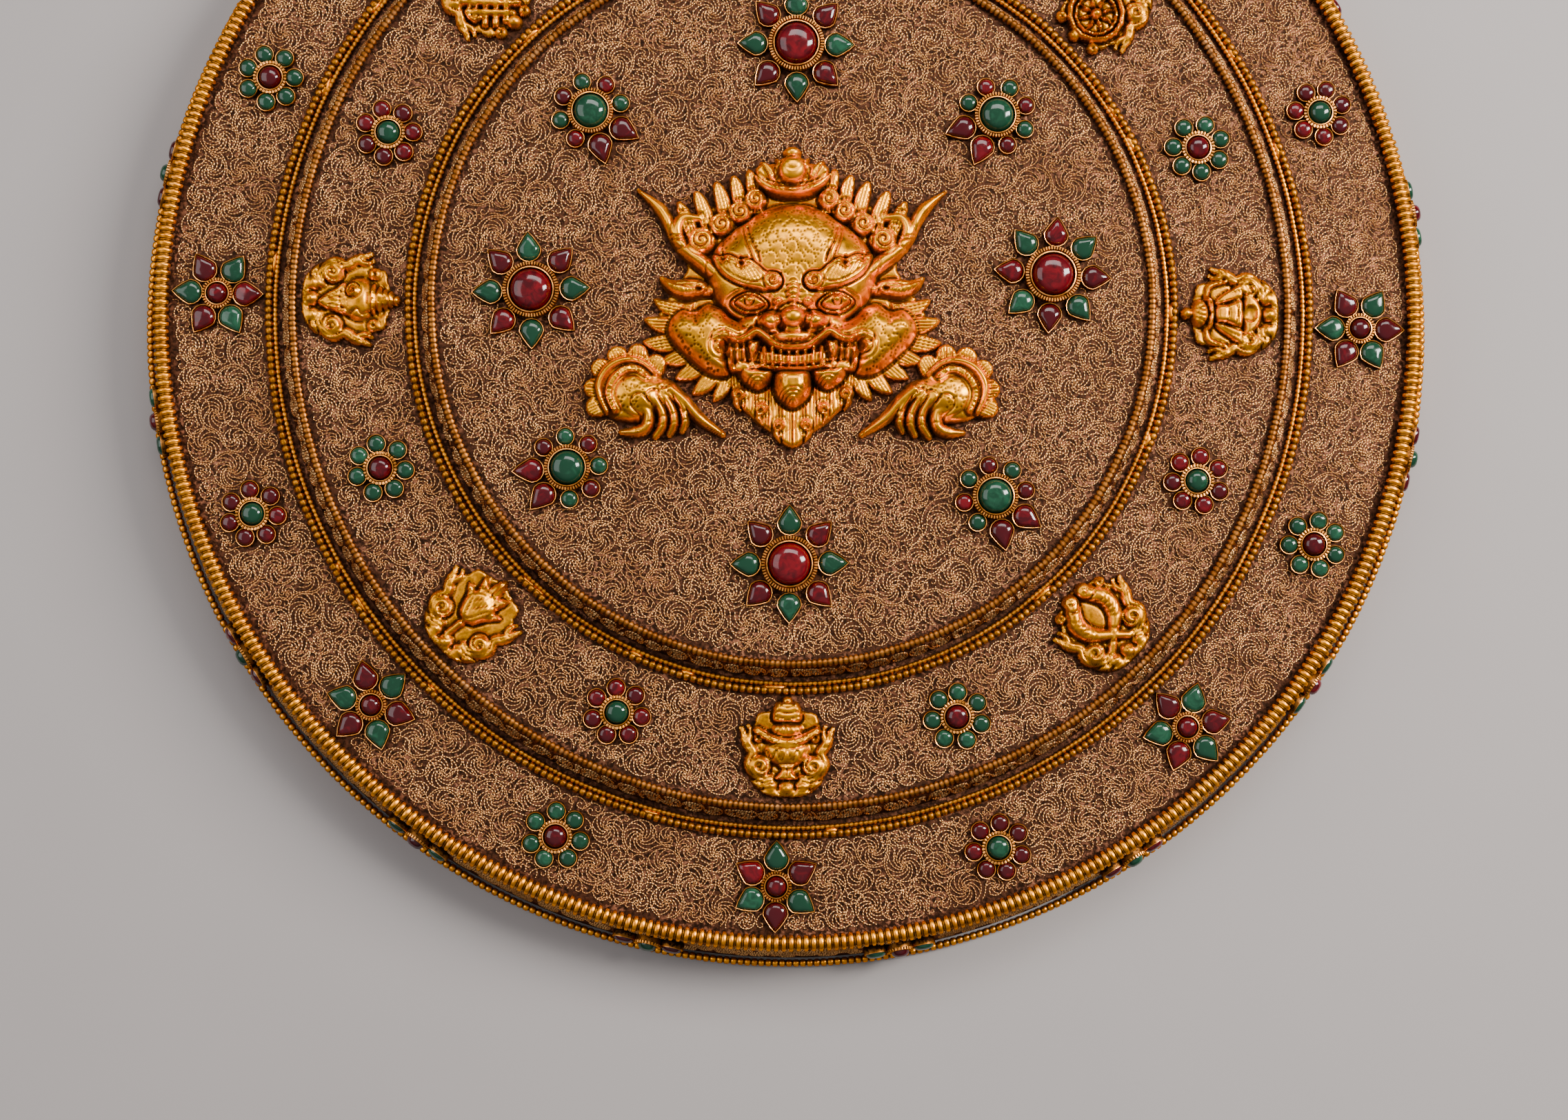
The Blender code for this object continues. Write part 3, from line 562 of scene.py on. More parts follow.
@dataclass(frozen=True)
class StudioPaper:
    """The plain pale ground that the plaque lies on."""

    shade: Colour = (0.322, 0.293, 0.285)

    def build(self) -> Finish:
        """Make the material.

        Returns:
            The material.
        """
        bench = Bench("studio_paper", 0.8, 0.0)
        darker = tuple(0.96 * part for part in self.shade)
        return bench.dress(bench.blend(bench.noise(40.0, 2.0), self.shade, darker))


# Ground and rope mouldings


@dataclass(frozen=True)
class Tier:
    """One round step of the plaque, turned smooth."""

    name: str
    node: str
    foot: float
    top: float
    low: float
    high: float
    columns: int = 220

    def build(self, finish: Finish) -> None:
        """Make its drum, with a soft edge at the top and a closed underside.

        Args:
            finish: its material.
        """
        hub = 0.02
        section = [(hub, self.low), (self.foot - 0.4, self.low), (self.foot, self.low + 0.3)]
        section += [
            (self.top, self.high - 0.25), (self.top - 0.3, self.high), (0.6 * self.top, self.high),
            (hub, self.high),
        ]
        turn = np.linspace(0, 2 * pi, self.columns, endpoint=False)
        rows = [np.stack([r * np.cos(turn), r * np.sin(turn), np.full(turn.shape, z)], 1) for r, z in section]
        shell = Shell()
        shell.skin(np.array(rows))
        shell.piece(self.name, finish, "dark_copper", [self.node], sharp=30.0)


class Style(Enum):
    """How a rope moulding is swaged: rings of each bead as (share of its pitch, share of its size)."""

    FINE = ((0.0, 0.68), (0.5, 1.0))
    BEAD = ((0.0, 0.56), (0.27, 0.95), (0.73, 0.95))
    COIL = ((0.0, 0.66), (0.5, 1.0))
    RIB = ((0.0, 0.60), (0.10, 0.84), (0.20, 0.58), (0.40, 0.98), (0.74, 0.98))


@dataclass(frozen=True)
class Rope:
    """A swaged wire bent round into a ring."""

    radius: float
    low: float
    width: float
    rise: float
    pitch: float
    style: Style
    columns: int = 6
    lean: float = 0.0
    waver: float = 0.0
    grime: float = 0.0
    seed: int = 1
    arch: Point = (-38.0, 218.0)
    wear: float = 0.025

    def lay(self, shell: Shell) -> None:
        """Add the ring to a shell.

        Args:
            shell: the mesh that it joins.
        """
        rng = np.random.default_rng(self.seed)
        beads = round(2 * pi * self.radius / self.pitch)
        rings = self.style.value
        share = np.array([(i + s) / beads for i in range(beads) for s, _ in rings])
        size = np.array([w for _ in range(beads) for _, w in rings])
        worn = np.repeat(rng.normal(1, self.wear, beads), len(rings))
        turn = 2 * pi * share + self.lean
        bend = self.waver * (np.sin(7 * turn + self.seed) + 0.7 * np.sin(17 * turn) + 0.5 * np.sin(31 * turn))
        around = np.radians(np.linspace(*self.arch, self.columns))
        half, high = self.width / 2 * size * worn, self.rise / 2 * size * worn
        reach = self.radius + bend + half[:, None].T * np.cos(around)[:, None]
        height = self.low + self.rise / 2 + high[:, None].T * np.sin(around)[:, None]
        rows = np.stack([reach * np.cos(turn), reach * np.sin(turn), height], -1).transpose(1, 0, 2)
        # Painted shade: darker in the gaps between beads and on the rope's underside; the grime adds an even
        # real dirt over it.
        between = np.clip((0.97 - size) * 2.4, 0, 1)[:, None]
        underside_shade = np.clip(0.25 - np.sin(around), 0, 1)[None] * 0.6
        tone = self.grime + between + underside_shade
        shell.skin(rows[:, ::-1], np.clip(tone, 0, 1)[:, ::-1], close=(True, False))


def solder(shell: Shell, radius: float, level: float, count: int, seed: int) -> None:
    """Spill lumps of solder over the ropes around a tier's foot.

    Args:
        shell: the mesh that they join.
        radius: where the ropes lie.
        level: the ledge's height.
        count: how many lumps.
        seed: fixes where they are.
    """
    rng = np.random.default_rng(seed)
    turn = np.linspace(0, 2 * pi, 10, endpoint=False)
    for _ in range(count):
        angle, long, wide = rng.uniform(0, 2 * pi), rng.uniform(1.4, 4.2), rng.uniform(0.8, 1.3)
        rows = []
        for share, height in ((1.0, 0.0), (0.86, 0.8), (0.5, 1.35), (0.2, 1.5)):
            wobble = 1 + 0.12 * np.sin(3 * turn + angle * 9)
            along, out = long * share * np.cos(turn) * wobble, wide * share * np.sin(turn) * wobble
            here = angle + along / radius
            reach = radius + out + rng.normal(0, 0.06, len(turn))
            rows.append(
                np.stack([reach * np.cos(here), reach * np.sin(here), np.full(len(turn), level + height)], 1)
            )
        shell.skin(np.array(rows)[:, ::-1], 0.12, cap=True)


class Ropes:
    """All the rope mouldings of the plaque."""

    def build(self, bright: Finish, dull: Finish) -> None:
        """Make the foot, rim and base ropes.

        Args:
            bright: the gilding of the clean ropes.
            dull: the gilding of the worn ones.
        """
        # The numbers of each rope are its radius, low side, width, rise and pitch
        single = (
            (
                "foot_beading", "foot_rope", Rope(186.15, 0.3, 2.3, 2.3, 2.0, Style.BEAD, 6, grime=0.05),
                bright,
            ),
            (
                "lower_rim_cable", "lower_rim_rope",
                Rope(178.0, 19.0, 4.7, 3.5, 2.1, Style.RIB, 7, grime=0.10), bright,
            ),
            (
                "middle_rim_cable", "middle_rim_rope",
                Rope(139.75, 26.1, 2.5, 2.0, 1.45, Style.COIL, 7, waver=0.06), dull,
            ),
            (
                "upper_rim_cable", "upper_rim_rope",
                Rope(100.05, 33.1, 2.5, 2.0, 1.45, Style.COIL, 7, waver=0.06), dull,
            ),
        )
        for name, node, rope, finish in single:
            shell = Shell()
            rope.lay(shell)
            shell.piece(name, finish, "gilt_rope", [node], sharp=180.0)
        for name, node, foot, level, seed in (
            ("middle_base_cables", "middle_base_ropes", MIDDLE_FOOT, LOWER_LEVEL, 3),
            ("upper_base_cables", "upper_base_ropes", UPPER_FOOT, MIDDLE_LEVEL, 4),
        ):
            shell = Shell()
            Rope(foot + 1.85, level + 0.1, 1.7, 1.55, 1.36, Style.FINE, 5, waver=0.05, seed=seed).lay(shell)
            Rope(
                foot + 3.8, level, 2.35, 1.95, 2.0, Style.BEAD, 6, waver=0.09, grime=0.46, seed=seed + 4,
            ).lay(shell)
            solder(shell, foot + 2.9, level, 16, seed)
            shell.piece(name, bright, "gilt_rope", [node], sharp=180.0)


# Filigree


@dataclass
class Plot:
    """Open ground on a flat or unrolled surface, with the room that is left around every spot."""

    low: Point
    high: Point
    room_of: Callable[[Array, Array], Array]
    cell: float = 0.25
    tile: float = 40.0
    reach: float = 5.4

    def __post_init__(self) -> None:
        """Measure the room there is everywhere."""
        self.xs = np.arange(self.low[0], self.high[0], self.cell)
        self.ys = np.arange(self.low[1], self.high[1], self.cell)
        x, y = np.meshgrid(self.xs, self.ys)
        self.room = np.clip(self.room_of(x, y), -1.0, self.reach).astype(np.float32)

    def window(self, low: Array, high: Array) -> tuple[slice, slice]:
        """The part of the grid between two corners."""
        rows = span(low[1], high[1], self.low[1], self.cell, len(self.ys))
        return rows, span(low[0], high[0], self.low[0], self.cell, len(self.xs))

    def take(self, x: float, y: float, radius: float) -> None:
        """Mark a disc as taken.

        Args:
            x: its centre's x.
            y: its centre's y.
            radius: its radius.
        """
        far = radius + self.reach
        part = self.window(np.array([x - far, y - far]), np.array([x + far, y + far]))
        away = np.hypot(self.xs[part[1]][None] - x, self.ys[part[0]][:, None] - y) - radius
        self.room[part] = np.minimum(self.room[part], away)

    def mark(self, path: Array) -> None:
        """Mark a wire as laid.

        Args:
            path: its points.
        """
        for first in range(0, len(path), 10):
            some = path[first : first + 11]
            part = self.window(some.min(0) - WIRE_REACH, some.max(0) + WIRE_REACH)
            across = self.xs[part[1]][None, None] - some[:, 0, None, None]
            up = self.ys[part[0]][None, :, None] - some[:, 1, None, None]
            if across.size and up.size:
                away = np.sqrt((across**2 + up**2).min(0))
                self.room[part] = np.minimum(self.room[part], away)

    def at(self, x: Array, y: Array) -> Array:
        """Read the room at some points.

        Args:
            x: their x.
            y: their y.

        Returns:
            The room at each.
        """
        i = np.clip(((x - self.low[0]) / self.cell).astype(int), 0, len(self.xs) - 1)
        j = np.clip(((y - self.low[1]) / self.cell).astype(int), 0, len(self.ys) - 1)
        return self.room[j, i]

    def tiles(self) -> list[tuple[Array, int, int]]:
        """Cut the ground into tiles.

        Returns:
            The room in each, with its first row and column.
        """
        step = int(self.tile / self.cell)
        rows, columns = self.room.shape
        corners = [(j, i) for j in range(0, rows, step) for i in range(0, columns, step)]
        return [(self.room[j : j + step, i : i + step], j, i) for j, i in corners]

    def pack(self, rng: Rng, sizes: Sequence[Point]) -> list[Triple]:
        """Set discs side by side, the largest first.

        Args:
            rng: the source of chance.
            sizes: the largest and smallest radius of each round.

        Returns:
            The discs' centres and radii.
        """
        taken = []
        for largest, smallest in sizes:
            for room, row, column in self.tiles():
                chance = rng.uniform(0, 0.12, room.shape)
                while True:
                    wide = largest * rng.uniform(0.88, 1.0)
                    fits = np.where(room >= wide, room + chance, np.inf)
                    k = int(fits.argmin())
                    if np.isinf(fits.flat[k]):
                        k = int(room.argmax())
                        if room.flat[k] < smallest:
                            break
                        wide = float(room.flat[k])
                    j, i = divmod(k, room.shape[1])
                    taken.append((float(self.xs[column + i]), float(self.ys[row + j]), wide))
                    self.take(*taken[-1])
        return taken


def bent(x: float, y: float, heading: float, runs: Sequence[Point], hand: int = 1) -> Array:
    """Bend one wire.

    Args:
        x: its start.
        y: its start.
        heading: its first direction in radians.
        runs: the length and radius of each bend, one easing into the next.
        hand: 1 if it bends to the left, -1 to the right.

    Returns:
        The points of the wire, closer together where it is tight.
    """
    steps, bends = [], []
    for (length, radius), (_, following) in zip(runs, [*runs[1:], runs[-1]]):
        count = max(2, round(length / (0.34 + 0.22 * min(radius, 4.0))))
        t = (np.arange(count) + 0.5) / count
        steps.append(np.full(count, length / count))
        bends.append((1 - t) / radius + t / following)
    step, curve = np.concatenate(steps), np.concatenate(bends) * hand
    direction = heading + np.cumsum(step * curve) - step * curve / 2
    path = np.cumsum(np.stack([step * np.cos(direction), step * np.sin(direction)], 1), 0)
    return np.vstack([[x, y], path + (x, y)])


class Hooks:
    """The hooks that fill the ground between the stems: a small loop, and a tail that opens out."""

    # How many ways a hook may be turned, and the radii of its loop
    WAYS = 20
    LOOPS = (0.33, 0.43, 0.53)
    # The room that the smallest loop needs, and how much more each larger one does
    NEED, MORE = 0.85, 0.22
    # How near the other wires a tail and a loop may come, and how far a snug tail keeps from them
    GAP, LOOP_GAP, SNUG = 0.30, 0.16, 0.8

    def __init__(self) -> None:
        """Bend one hook of each size both ways, and turn it all round."""
        turn = 2 * pi * np.arange(self.WAYS) / self.WAYS
        spin = np.stack([np.cos(turn), -np.sin(turn), np.sin(turn), np.cos(turn)], 1).reshape(-1, 2, 2)
        self.sets: list[tuple[int, dict[int, Array]]] = []
        for loop in self.LOOPS:
            runs = [(5.0 * loop, loop), (0.9, 0.9), (1.9, 1.9), (4.2, 3.2)]
            curve = bent(loop, 0.0, pi / 2, runs)
            count = int(np.flatnonzero(np.cumsum(np.hypot(*np.diff(curve, axis=0).T)) > 5.2 * loop)[0])
            hands = {hand: np.einsum("kab,nb->kna", spin, curve * (1, hand)) for hand in (1, -1)}
            self.sets.append((count, hands))

    def fill(self, plot: Plot, hand_of: Callable[[float, float], int], least: float, rng: Rng) -> list[Array]:
        """Fill a plot with hooks, each grown back from its loop until it meets a wire.

        Args:
            plot: the open ground, which is used up.
            hand_of: tells which way the wires wind at a point.
            least: the least room that is still filled.
            rng: the source of chance.

        Returns:
            The hooks.
        """
        found = []
        for room, row, column in plot.tiles():
            while True:
                k = int(room.argmax())
                clear = float(room.flat[k])
                if clear < least:
                    break
                j, i = divmod(k, room.shape[1])
                x, y = float(plot.xs[column + i]), float(plot.ys[row + j])
                size = int(max(0.0, clear - self.NEED) / self.MORE)
                first, hands = self.sets[min(len(self.sets) - 1, size)]
                curves = hands[hand_of(x, y)] + (x, y)
                clearance = plot.at(curves[..., 0], curves[..., 1])
                blocked = clearance < self.GAP
                blocked[:, :first] = clearance[:, :first] < self.LOOP_GAP
                stop = np.where(blocked.any(1), blocked.argmax(1), blocked.shape[1] - 1)
                # A tail that keeps close to the wires beside it leaves no gap
                grown = np.arange(blocked.shape[1]) < stop[:, None]
                close = np.where(grown, np.abs(clearance - self.SNUG), 0).sum(1)
                score = stop - 0.9 * close + rng.uniform(0, 0.5, self.WAYS)
                best = int(score.argmax())
                if stop[best] <= first:
                    plot.take(x, y, 0.1)
                    continue
                path = curves[best, : stop[best] + 1]
                found.append(path)
                plot.mark(path)
        return found


class Whorls:
    """Twisted wire bent into whorls of nested hooks, joined by stems, with more hooks between them."""

    # How steeply the nested hooks run inwards
    LEAN = radians(35)
    # The wire's width, and how high it stands
    WIDTH, RISE = 0.37, 0.42
    # The least room that a wire keeps to
    CLEAR = 0.12
    # How far the strips' edges are sunk, and how far the twist runs ahead on one side of them
    SUNK, AHEAD = 0.04, 0.16

    def __init__(self, rng: Rng, spacing: float = 1.08) -> None:
        """Start with no wire.

        Args:
            rng: the source of chance.
            spacing: how far apart the nested hooks lie.
        """
        self.rng = rng
        self.spacing = spacing
        self.strands: list[Array] = []

    def whorl(self, x: float, y: float, r: float, hand: int, start: float, beside: float) -> None:
        """Bend the rim wires of one whorl and the stem that leads to it.

        Args:
            x: its centre.
            y: its centre.
            r: its radius.
            hand: 1 if it winds to the left, -1 to the right.
            start: the angle at which it leaves its neighbour.
            beside: the neighbour's radius.
        """
        rim = r - 0.25
        at = (x + rim * cos(start), y + rim * sin(start))
        self.strands.append(bent(*at, start + hand * pi / 2, [(self.rng.uniform(5.2, 5.8) * rim, rim)], hand))
        stem = self.rng.uniform(0.8, 1.5) * min(beside, 4.5)
        self.strands.append(
            bent(*at, start - hand * pi / 2, [(stem, beside + 0.35), (0.5 * stem, beside + 2.5)], hand)
        )
        count = max(4, round(2 * pi * 0.62 * r * sin(self.LEAN) / self.spacing))
        core = max(0.95, count * 0.115)
        for k in range(count):
            inner = core + (0.0, 0.85)[k % 2] * min(1.0, r / 4)
            sweep = log(rim / inner) / tan(self.LEAN)
            steps = max(2, round((rim - inner) / sin(self.LEAN) / 1.05))
            along = sweep * np.linspace(0, 1, steps + 1)
            reach = rim * np.exp(-along * tan(self.LEAN))
            angle = start + hand * (2 * pi * (k + self.rng.uniform(-0.08, 0.08)) / count + along)
            arm = np.stack([x + reach * np.cos(angle), y + reach * np.sin(angle)], 1)
            loop = self.rng.uniform(0.38, 0.46)
            heading = float(angle[-1]) + hand * (pi / 2 + self.LEAN)
            self.strands.append(np.vstack([arm, bent(*arm[-1], heading, [(4.2 * loop, loop)], hand)[1:]]))
        if core > 1.05:
            self.strands.append(bent(x + 0.5, y, pi / 2, [(2.4, 0.5), (0.5, 0.25)]))

    def grow(self, plot: Plot, sizes: Sequence[Point], least: float) -> None:
        """Set whorls over a plot and fill the ground around them.

        Args:
            plot: the open ground.
            sizes: the whorls' largest and smallest radius in each round.
            least: the least room that still takes a hook.
        """
        blocked = plot.room.copy()
        discs = plot.pack(self.rng, sizes)
        table, hands = np.array(discs), []
        for i, (x, y, r) in enumerate(discs):
            hand, start, beside = 1, self.rng.uniform(0, 2 * pi), 4.0
            if i:
                gaps = np.hypot(table[:i, 0] - x, table[:i, 1] - y) - table[:i, 2]
                k = int(gaps.argmin())
                hand = -hands[k]
                if gaps[k] < r + 2.0:
                    start, beside = atan2(table[k, 1] - y, table[k, 0] - x), float(table[k, 2])
            hands.append(hand)
            self.whorl(x, y, r, hand, start, beside)
        plot.room[:] = np.minimum(blocked, WIRE_REACH)
        clear = [cut(path, plot.at(*path.T) > self.CLEAR) for path in self.strands]
        self.strands = [path for path in clear if len(path) > 2]
        for path in self.strands:
            plot.mark(path)

        def hand_of(x: float, y: float) -> int:
            """The way that the nearest whorl winds."""
            return hands[int((np.hypot(table[:, 0] - x, table[:, 1] - y) - table[:, 2]).argmin())]

        self.strands += Hooks().fill(plot, hand_of, least, self.rng)

    def draw(self, shell: Shell, surface: Surface, chosen: Callable[[Array], bool]) -> None:
        """Lay the wires on a surface as rounded strips.

        Args:
            shell: the mesh that they join.
            surface: turns x, y and height into points in space.
            chosen: tells whether a wire belongs to this mesh.
        """
        for path in self.strands:
            if not chosen(path):
                continue
            run = np.gradient(path, axis=0)
            length = np.hypot(run[:, 0], run[:, 1])
            side = np.stack([-run[:, 1], run[:, 0]], 1) / length[:, None] * self.WIDTH / 2
            along = np.cumsum(length)
            height = np.full(len(path), self.RISE * self.rng.uniform(0.88, 1.06))
            height[[0, -1]] *= 0.5
            foot = np.full(len(path), -self.SUNK)
            rows = [
                surface(*(path + side).T, foot), surface(*path.T, height), surface(*(path - side).T, foot),
            ]
            tone = along[:, None] + np.array([self.AHEAD, 0.0, -self.AHEAD])
            shell.skin(np.stack(rows, 1)[:, ::-1], tone, close=(False, False))


def cut(path: Array, clear: Array) -> Array:
    """Take the first stretch of a line that lies clear.

    Args:
        path: the line's points.
        clear: whether each of them lies clear.

    Returns:
        The stretch.
    """
    if clear.all():
        return path
    first = int(clear.argmax())
    ends = np.flatnonzero(~clear[first:])
    return path[first : first + (int(ends[0]) if len(ends) else len(path))]


def level_surface(level: float) -> Surface:
    """The surface of a ledge or floor."""
    return lambda x, y, z: np.stack([x, y, level + z], -1)


def wall_surface(foot: float, top: float, low: float, high: float) -> Surface:
    """Unroll a tier's leaning wall at its middle radius, with y up its slope.

    Args:
        foot: the radius at its foot.
        top: the radius at its top.
        low: the level of its foot.
        high: the level of its top.

    Returns:
        Its surface.
    """
    middle, slope = (foot + top) / 2, hypot(foot - top, high - low)
    lean = ((foot - top) / slope, (high - low) / slope)

    def place(x: Array, y: Array, z: Array) -> Array:
        """Wrap the strip around the wall.

        Args:
            x: how far round each point lies.
            y: how far up.
            z: how far out of the wall.

        Returns:
            The points in space.
        """
        reach = foot - y * lean[0] + z * lean[1]
        angle = x / middle
        return np.stack([reach * np.cos(angle), reach * np.sin(angle), low + y * lean[1] + z * lean[0]], -1)

    return place


@dataclass
class Ledge:
    """The filigree of one level, between its ropes, flowers and reliefs."""

    name: str
    level: float
    inner: float
    outer: float
    seed: int

    def __post_init__(self) -> None:
        """Lay out its open ground."""
        edge = self.outer + 0.6
        self.plot = Plot((-edge, -edge), (edge, edge), self.room)

    def room(self, x: Array, y: Array) -> Array:
        """The room between its two edges."""
        reach = np.hypot(x, y)
        return np.minimum(reach - self.inner, self.outer - reach)

    def build(self, finish: Finish) -> None:
        """Fill the open ground with whorls and hooks.

        Args:
            finish: the wire's material.
        """
        whorls = Whorls(np.random.default_rng(self.seed))
        whorls.grow(self.plot, ((5.1, 3.9), (3.6, 2.4)), 0.90)
        for number, below in ((1, False), (2, True)):
            shell = Shell()
            whorls.draw(shell, level_surface(self.level), lambda path: (path[0, 1] < 0) == below)
            shell.piece(f"{self.name}_{number}", finish, "dark_copper", sharp=180.0)


@dataclass
class WallScroll:
    """The filigree of one wall."""

    name: str
    foot: float
    top: float
    low: float
    high: float
    margins: Point
    sizes: Sequence[Point]
    least: float
    seed: int
    spacing: float = 1.3

    def build(self, finish: Finish, openings: Sequence[Triple] = ()) -> None:
        """Fill the wall with whorls, around some taken discs.

        Args:
            finish: the wire's material.
            openings: the taken discs.
        """
        slope = hypot(self.foot - self.top, self.high - self.low)
        round_about = pi * (self.foot + self.top)
        low, high = self.margins[0], slope - self.margins[1]

        def room(x: Array, y: Array) -> Array:
            """The room between the ropes and the strip's ends."""
            return np.minimum(np.minimum(y - low, high - y), np.minimum(x, round_about - x))

        plot = Plot((0.0, 0.0), (round_about, slope), room, tile=60.0)
        for disc in openings:
            plot.take(*disc)
        whorls = Whorls(np.random.default_rng(self.seed), self.spacing)
        whorls.grow(plot, self.sizes, self.least)
        shell = Shell()
        whorls.draw(shell, wall_surface(self.foot, self.top, self.low, self.high), lambda path: True)
        shell.piece(self.name, finish, "dark_copper", sharp=180.0)


# Flowers of stones in bezels


class Hue(Enum):
    """The two kinds of stone."""

    GREEN = "green"
    RED = "red"

    @property
    def other(self) -> Hue:
        """The other kind."""
        return Hue.RED if self is Hue.GREEN else Hue.GREEN


GREEN, RED = Hue.GREEN, Hue.RED


@dataclass(frozen=True)
class Cup:
    """One stone in its bezel: where it sits on its flower, which way it points and its outline."""

    angle: float
    near: float
    far: float
    half: float
    pointed: bool
    hue: Hue
    rise: float = 2.7

    def outline(self, columns: int) -> tuple[Array, Array]:
        """Draw it on the flower.

        Args:
            columns: how many points it has.

        Returns:
            Its outline and its middle.
        """
        turn = np.linspace(0, 2 * pi, columns, endpoint=False)
        long = (self.far - self.near) / 2
        if self.pointed:
            # A pear: round towards the centre of the flower, drawn to a point outwards
            along = self.half * np.cos(turn)
            across = self.half * np.sin(turn)
            tip = self.far - self.near - self.half
            drawn = np.clip(1 - np.abs(np.sin(turn)) ** 1.15, 0, 1) ** 0.8
            along = np.where(np.cos(turn) > 1e-6, tip * drawn, along)
            middle = self.near + self.half
        else:
            along, across = long * np.cos(turn), self.half * np.sin(turn)
            middle = self.near + long
        heading = np.array([cos(self.angle), sin(self.angle)])
        side = np.array([-heading[1], heading[0]])
        points = np.outer(middle + along, heading) + np.outer(across, side)
        # The middle of a pear lies a little towards its point
        return points, middle * heading + (0.25 * (self.far - self.near) * heading * self.pointed * 0.4)


@dataclass
class Jewels:
    """Settings and stones gathered for one group of flowers."""

    settings: Shell = field(default_factory=Shell)
    stones: dict[Hue, Shell] = field(default_factory=lambda: {hue: Shell() for hue in Hue})
    columns: int = 16
    sunk: float = 0.05
    inset: float = 0.42
    bed: float = 0.4
    tilt: float = 0.035

    def cup(self, place: Matrix, cup: Cup, rng: Rng) -> None:
        """Set one stone in its bezel.

        Args:
            place: where the flower stands.
            cup: the stone's bezel.
            rng: the source of chance.
        """
        outline, middle = cup.outline(self.columns)
        rim = cup.rise * 0.62

        def ring(share: float, inset: float, height: float) -> Array:
            """Draw the outline in and raise it.

            Args:
                share: the share of it that is left.
                inset: how far it is drawn in first.
                height: how high it is raised.

            Returns:
                Its points on the plaque.
            """
            away = outline - middle
            size = np.hypot(away[:, 0], away[:, 1])[:, None]
            points = middle + away * (share * (size - inset) / size)
            return move(place, np.column_stack([points, np.full(len(points), height)]))

        wall = ((-0.05, -self.sunk), (0.0, rim - 0.15), (0.06, rim + 0.06), (0.24, rim), (0.38, rim - 0.8))
        rows = np.array([ring(1, inset, height) for inset, height in wall])
        # Painted shade: the tone darkens the bezel at its foot on the plate and down its inside to the stone.
        self.settings.skin(rows, np.array([0.9, 0.55, 0.0, 0.1, 0.95])[:, None])
        tilt = rng.normal(0, self.tilt, 2)
        steps = []
        for share, height in ((1.0, 0.30), (0.97, 0.58), (0.86, 0.80), (0.66, 0.94), (0.36, 1.0)):
            points = ring(share, self.inset, self.bed + (cup.rise - self.bed) * height)
            points[:, 2] += (points[:, :2] - points[:, :2].mean(0)) @ tilt * (1 - share)
            steps.append(points)
        self.stones[cup.hue].skin(np.array(steps), rng.uniform(-0.28, 0.14), cap=True)

    def centre(
        self, place: Matrix, radius: float, stone: float, rise: float, hue: Hue, beads: int, rng: Rng,
    ) -> None:
        """Set the middle stone inside a ring of fine radial beads.

        Args:
            place: where the flower stands.
            radius: the radius of the setting.
            stone: the radius of the stone.
            rise: the stone's height.
            hue: the kind of stone.
            beads: how many beads go round it.
            rng: the source of chance.
        """
        columns = 2 * self.columns if radius > 5 else int(1.5 * self.columns)
        turn = np.linspace(0, 2 * pi, columns, endpoint=False)

        def ring(reach: float, height: float) -> Array:
            """A level ring."""
            level = np.full(columns, height)
            return move(place, np.stack([reach * np.cos(turn), reach * np.sin(turn), level], 1))

        rim = 0.60 * rise
        wall = [(radius - 0.3, -self.sunk), (radius - 0.3, rim - 0.75), (stone + 0.72, rim - 0.7)]
        wall += [(stone + 0.60, rim), (stone + 0.34, rim + 0.05), (stone + 0.18, rim - 0.8)]
        # Painted shade: the tone darkens the setting at its foot and down its inside to the stone.
        tone = np.array([0.7, 0.5, 0.7, 0.0, 0.05, 0.95])[:, None]
        self.settings.skin(np.array([ring(*row) for row in wall]), tone)
        thick = min(0.72, max(0.5, (radius - stone - 0.6) / 2))
        around = np.radians(np.linspace(-25, 205, 4))
        share = np.repeat(np.arange(beads), 3) / beads + np.tile([0.0, 0.28, 0.72], beads) / beads
        size = np.tile([0.42, 0.97, 0.97], beads)
        angle = 2 * pi * share
        reach = radius - thick + thick * size[:, None] * np.cos(around)
        height = rim - 0.42 + 0.62 * size[:, None] * np.sin(around)
        rows = np.stack([reach * np.cos(angle)[:, None], reach * np.sin(angle)[:, None], height], -1)
        rows = move(place, rows)
        # Painted shade in the gaps between the beads.
        self.settings.skin(rows[:, ::-1], np.clip((0.9 - size) * 1.9, 0, 0.95)[:, None], close=(True, False))
        dome = ((1.0, 0.35), (0.97, 0.60), (0.87, 0.79), (0.70, 0.91), (0.45, 0.98), (0.2, 1.0))
        steps = [ring(stone * part, rise * high) for part, high in dome]
        shade = rng.uniform(-0.2, 0.05) + (0.17 if stone > 5 else 0.0)
        self.stones[hue].skin(np.array(steps), shade, cap=True)

    def finish(self, name: str, bench: dict[str, Finish], nodes: Sequence[str]) -> None:
        """Make its pieces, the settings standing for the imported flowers.

        Args:
            name: how the pieces' names start.
            bench: the materials.
            nodes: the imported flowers.
        """
        self.settings.piece(f"{name}_settings", bench["bezel"], "gilt_rope", nodes, sharp=50.0)
        for hue, shell in self.stones.items():
            if shell.count:
                shell.piece(f"{name}_{hue.value}_stones", bench[hue.value], f"{hue.value}_stone", sharp=180.0)


def move(place: Matrix, points: Array) -> Array:
    """Move points by a matrix given in millimetres."""
    table = np.array(place)
    return points @ table[:3, :3].T + table[:3, 3]


def standing(radius: float, degrees: float, level: float) -> Matrix:
    """A place on a level, by its radius and angle about the plaque's centre."""
    angle = radians(degrees)
    return Matrix.Translation((radius * cos(angle), radius * sin(angle), level))


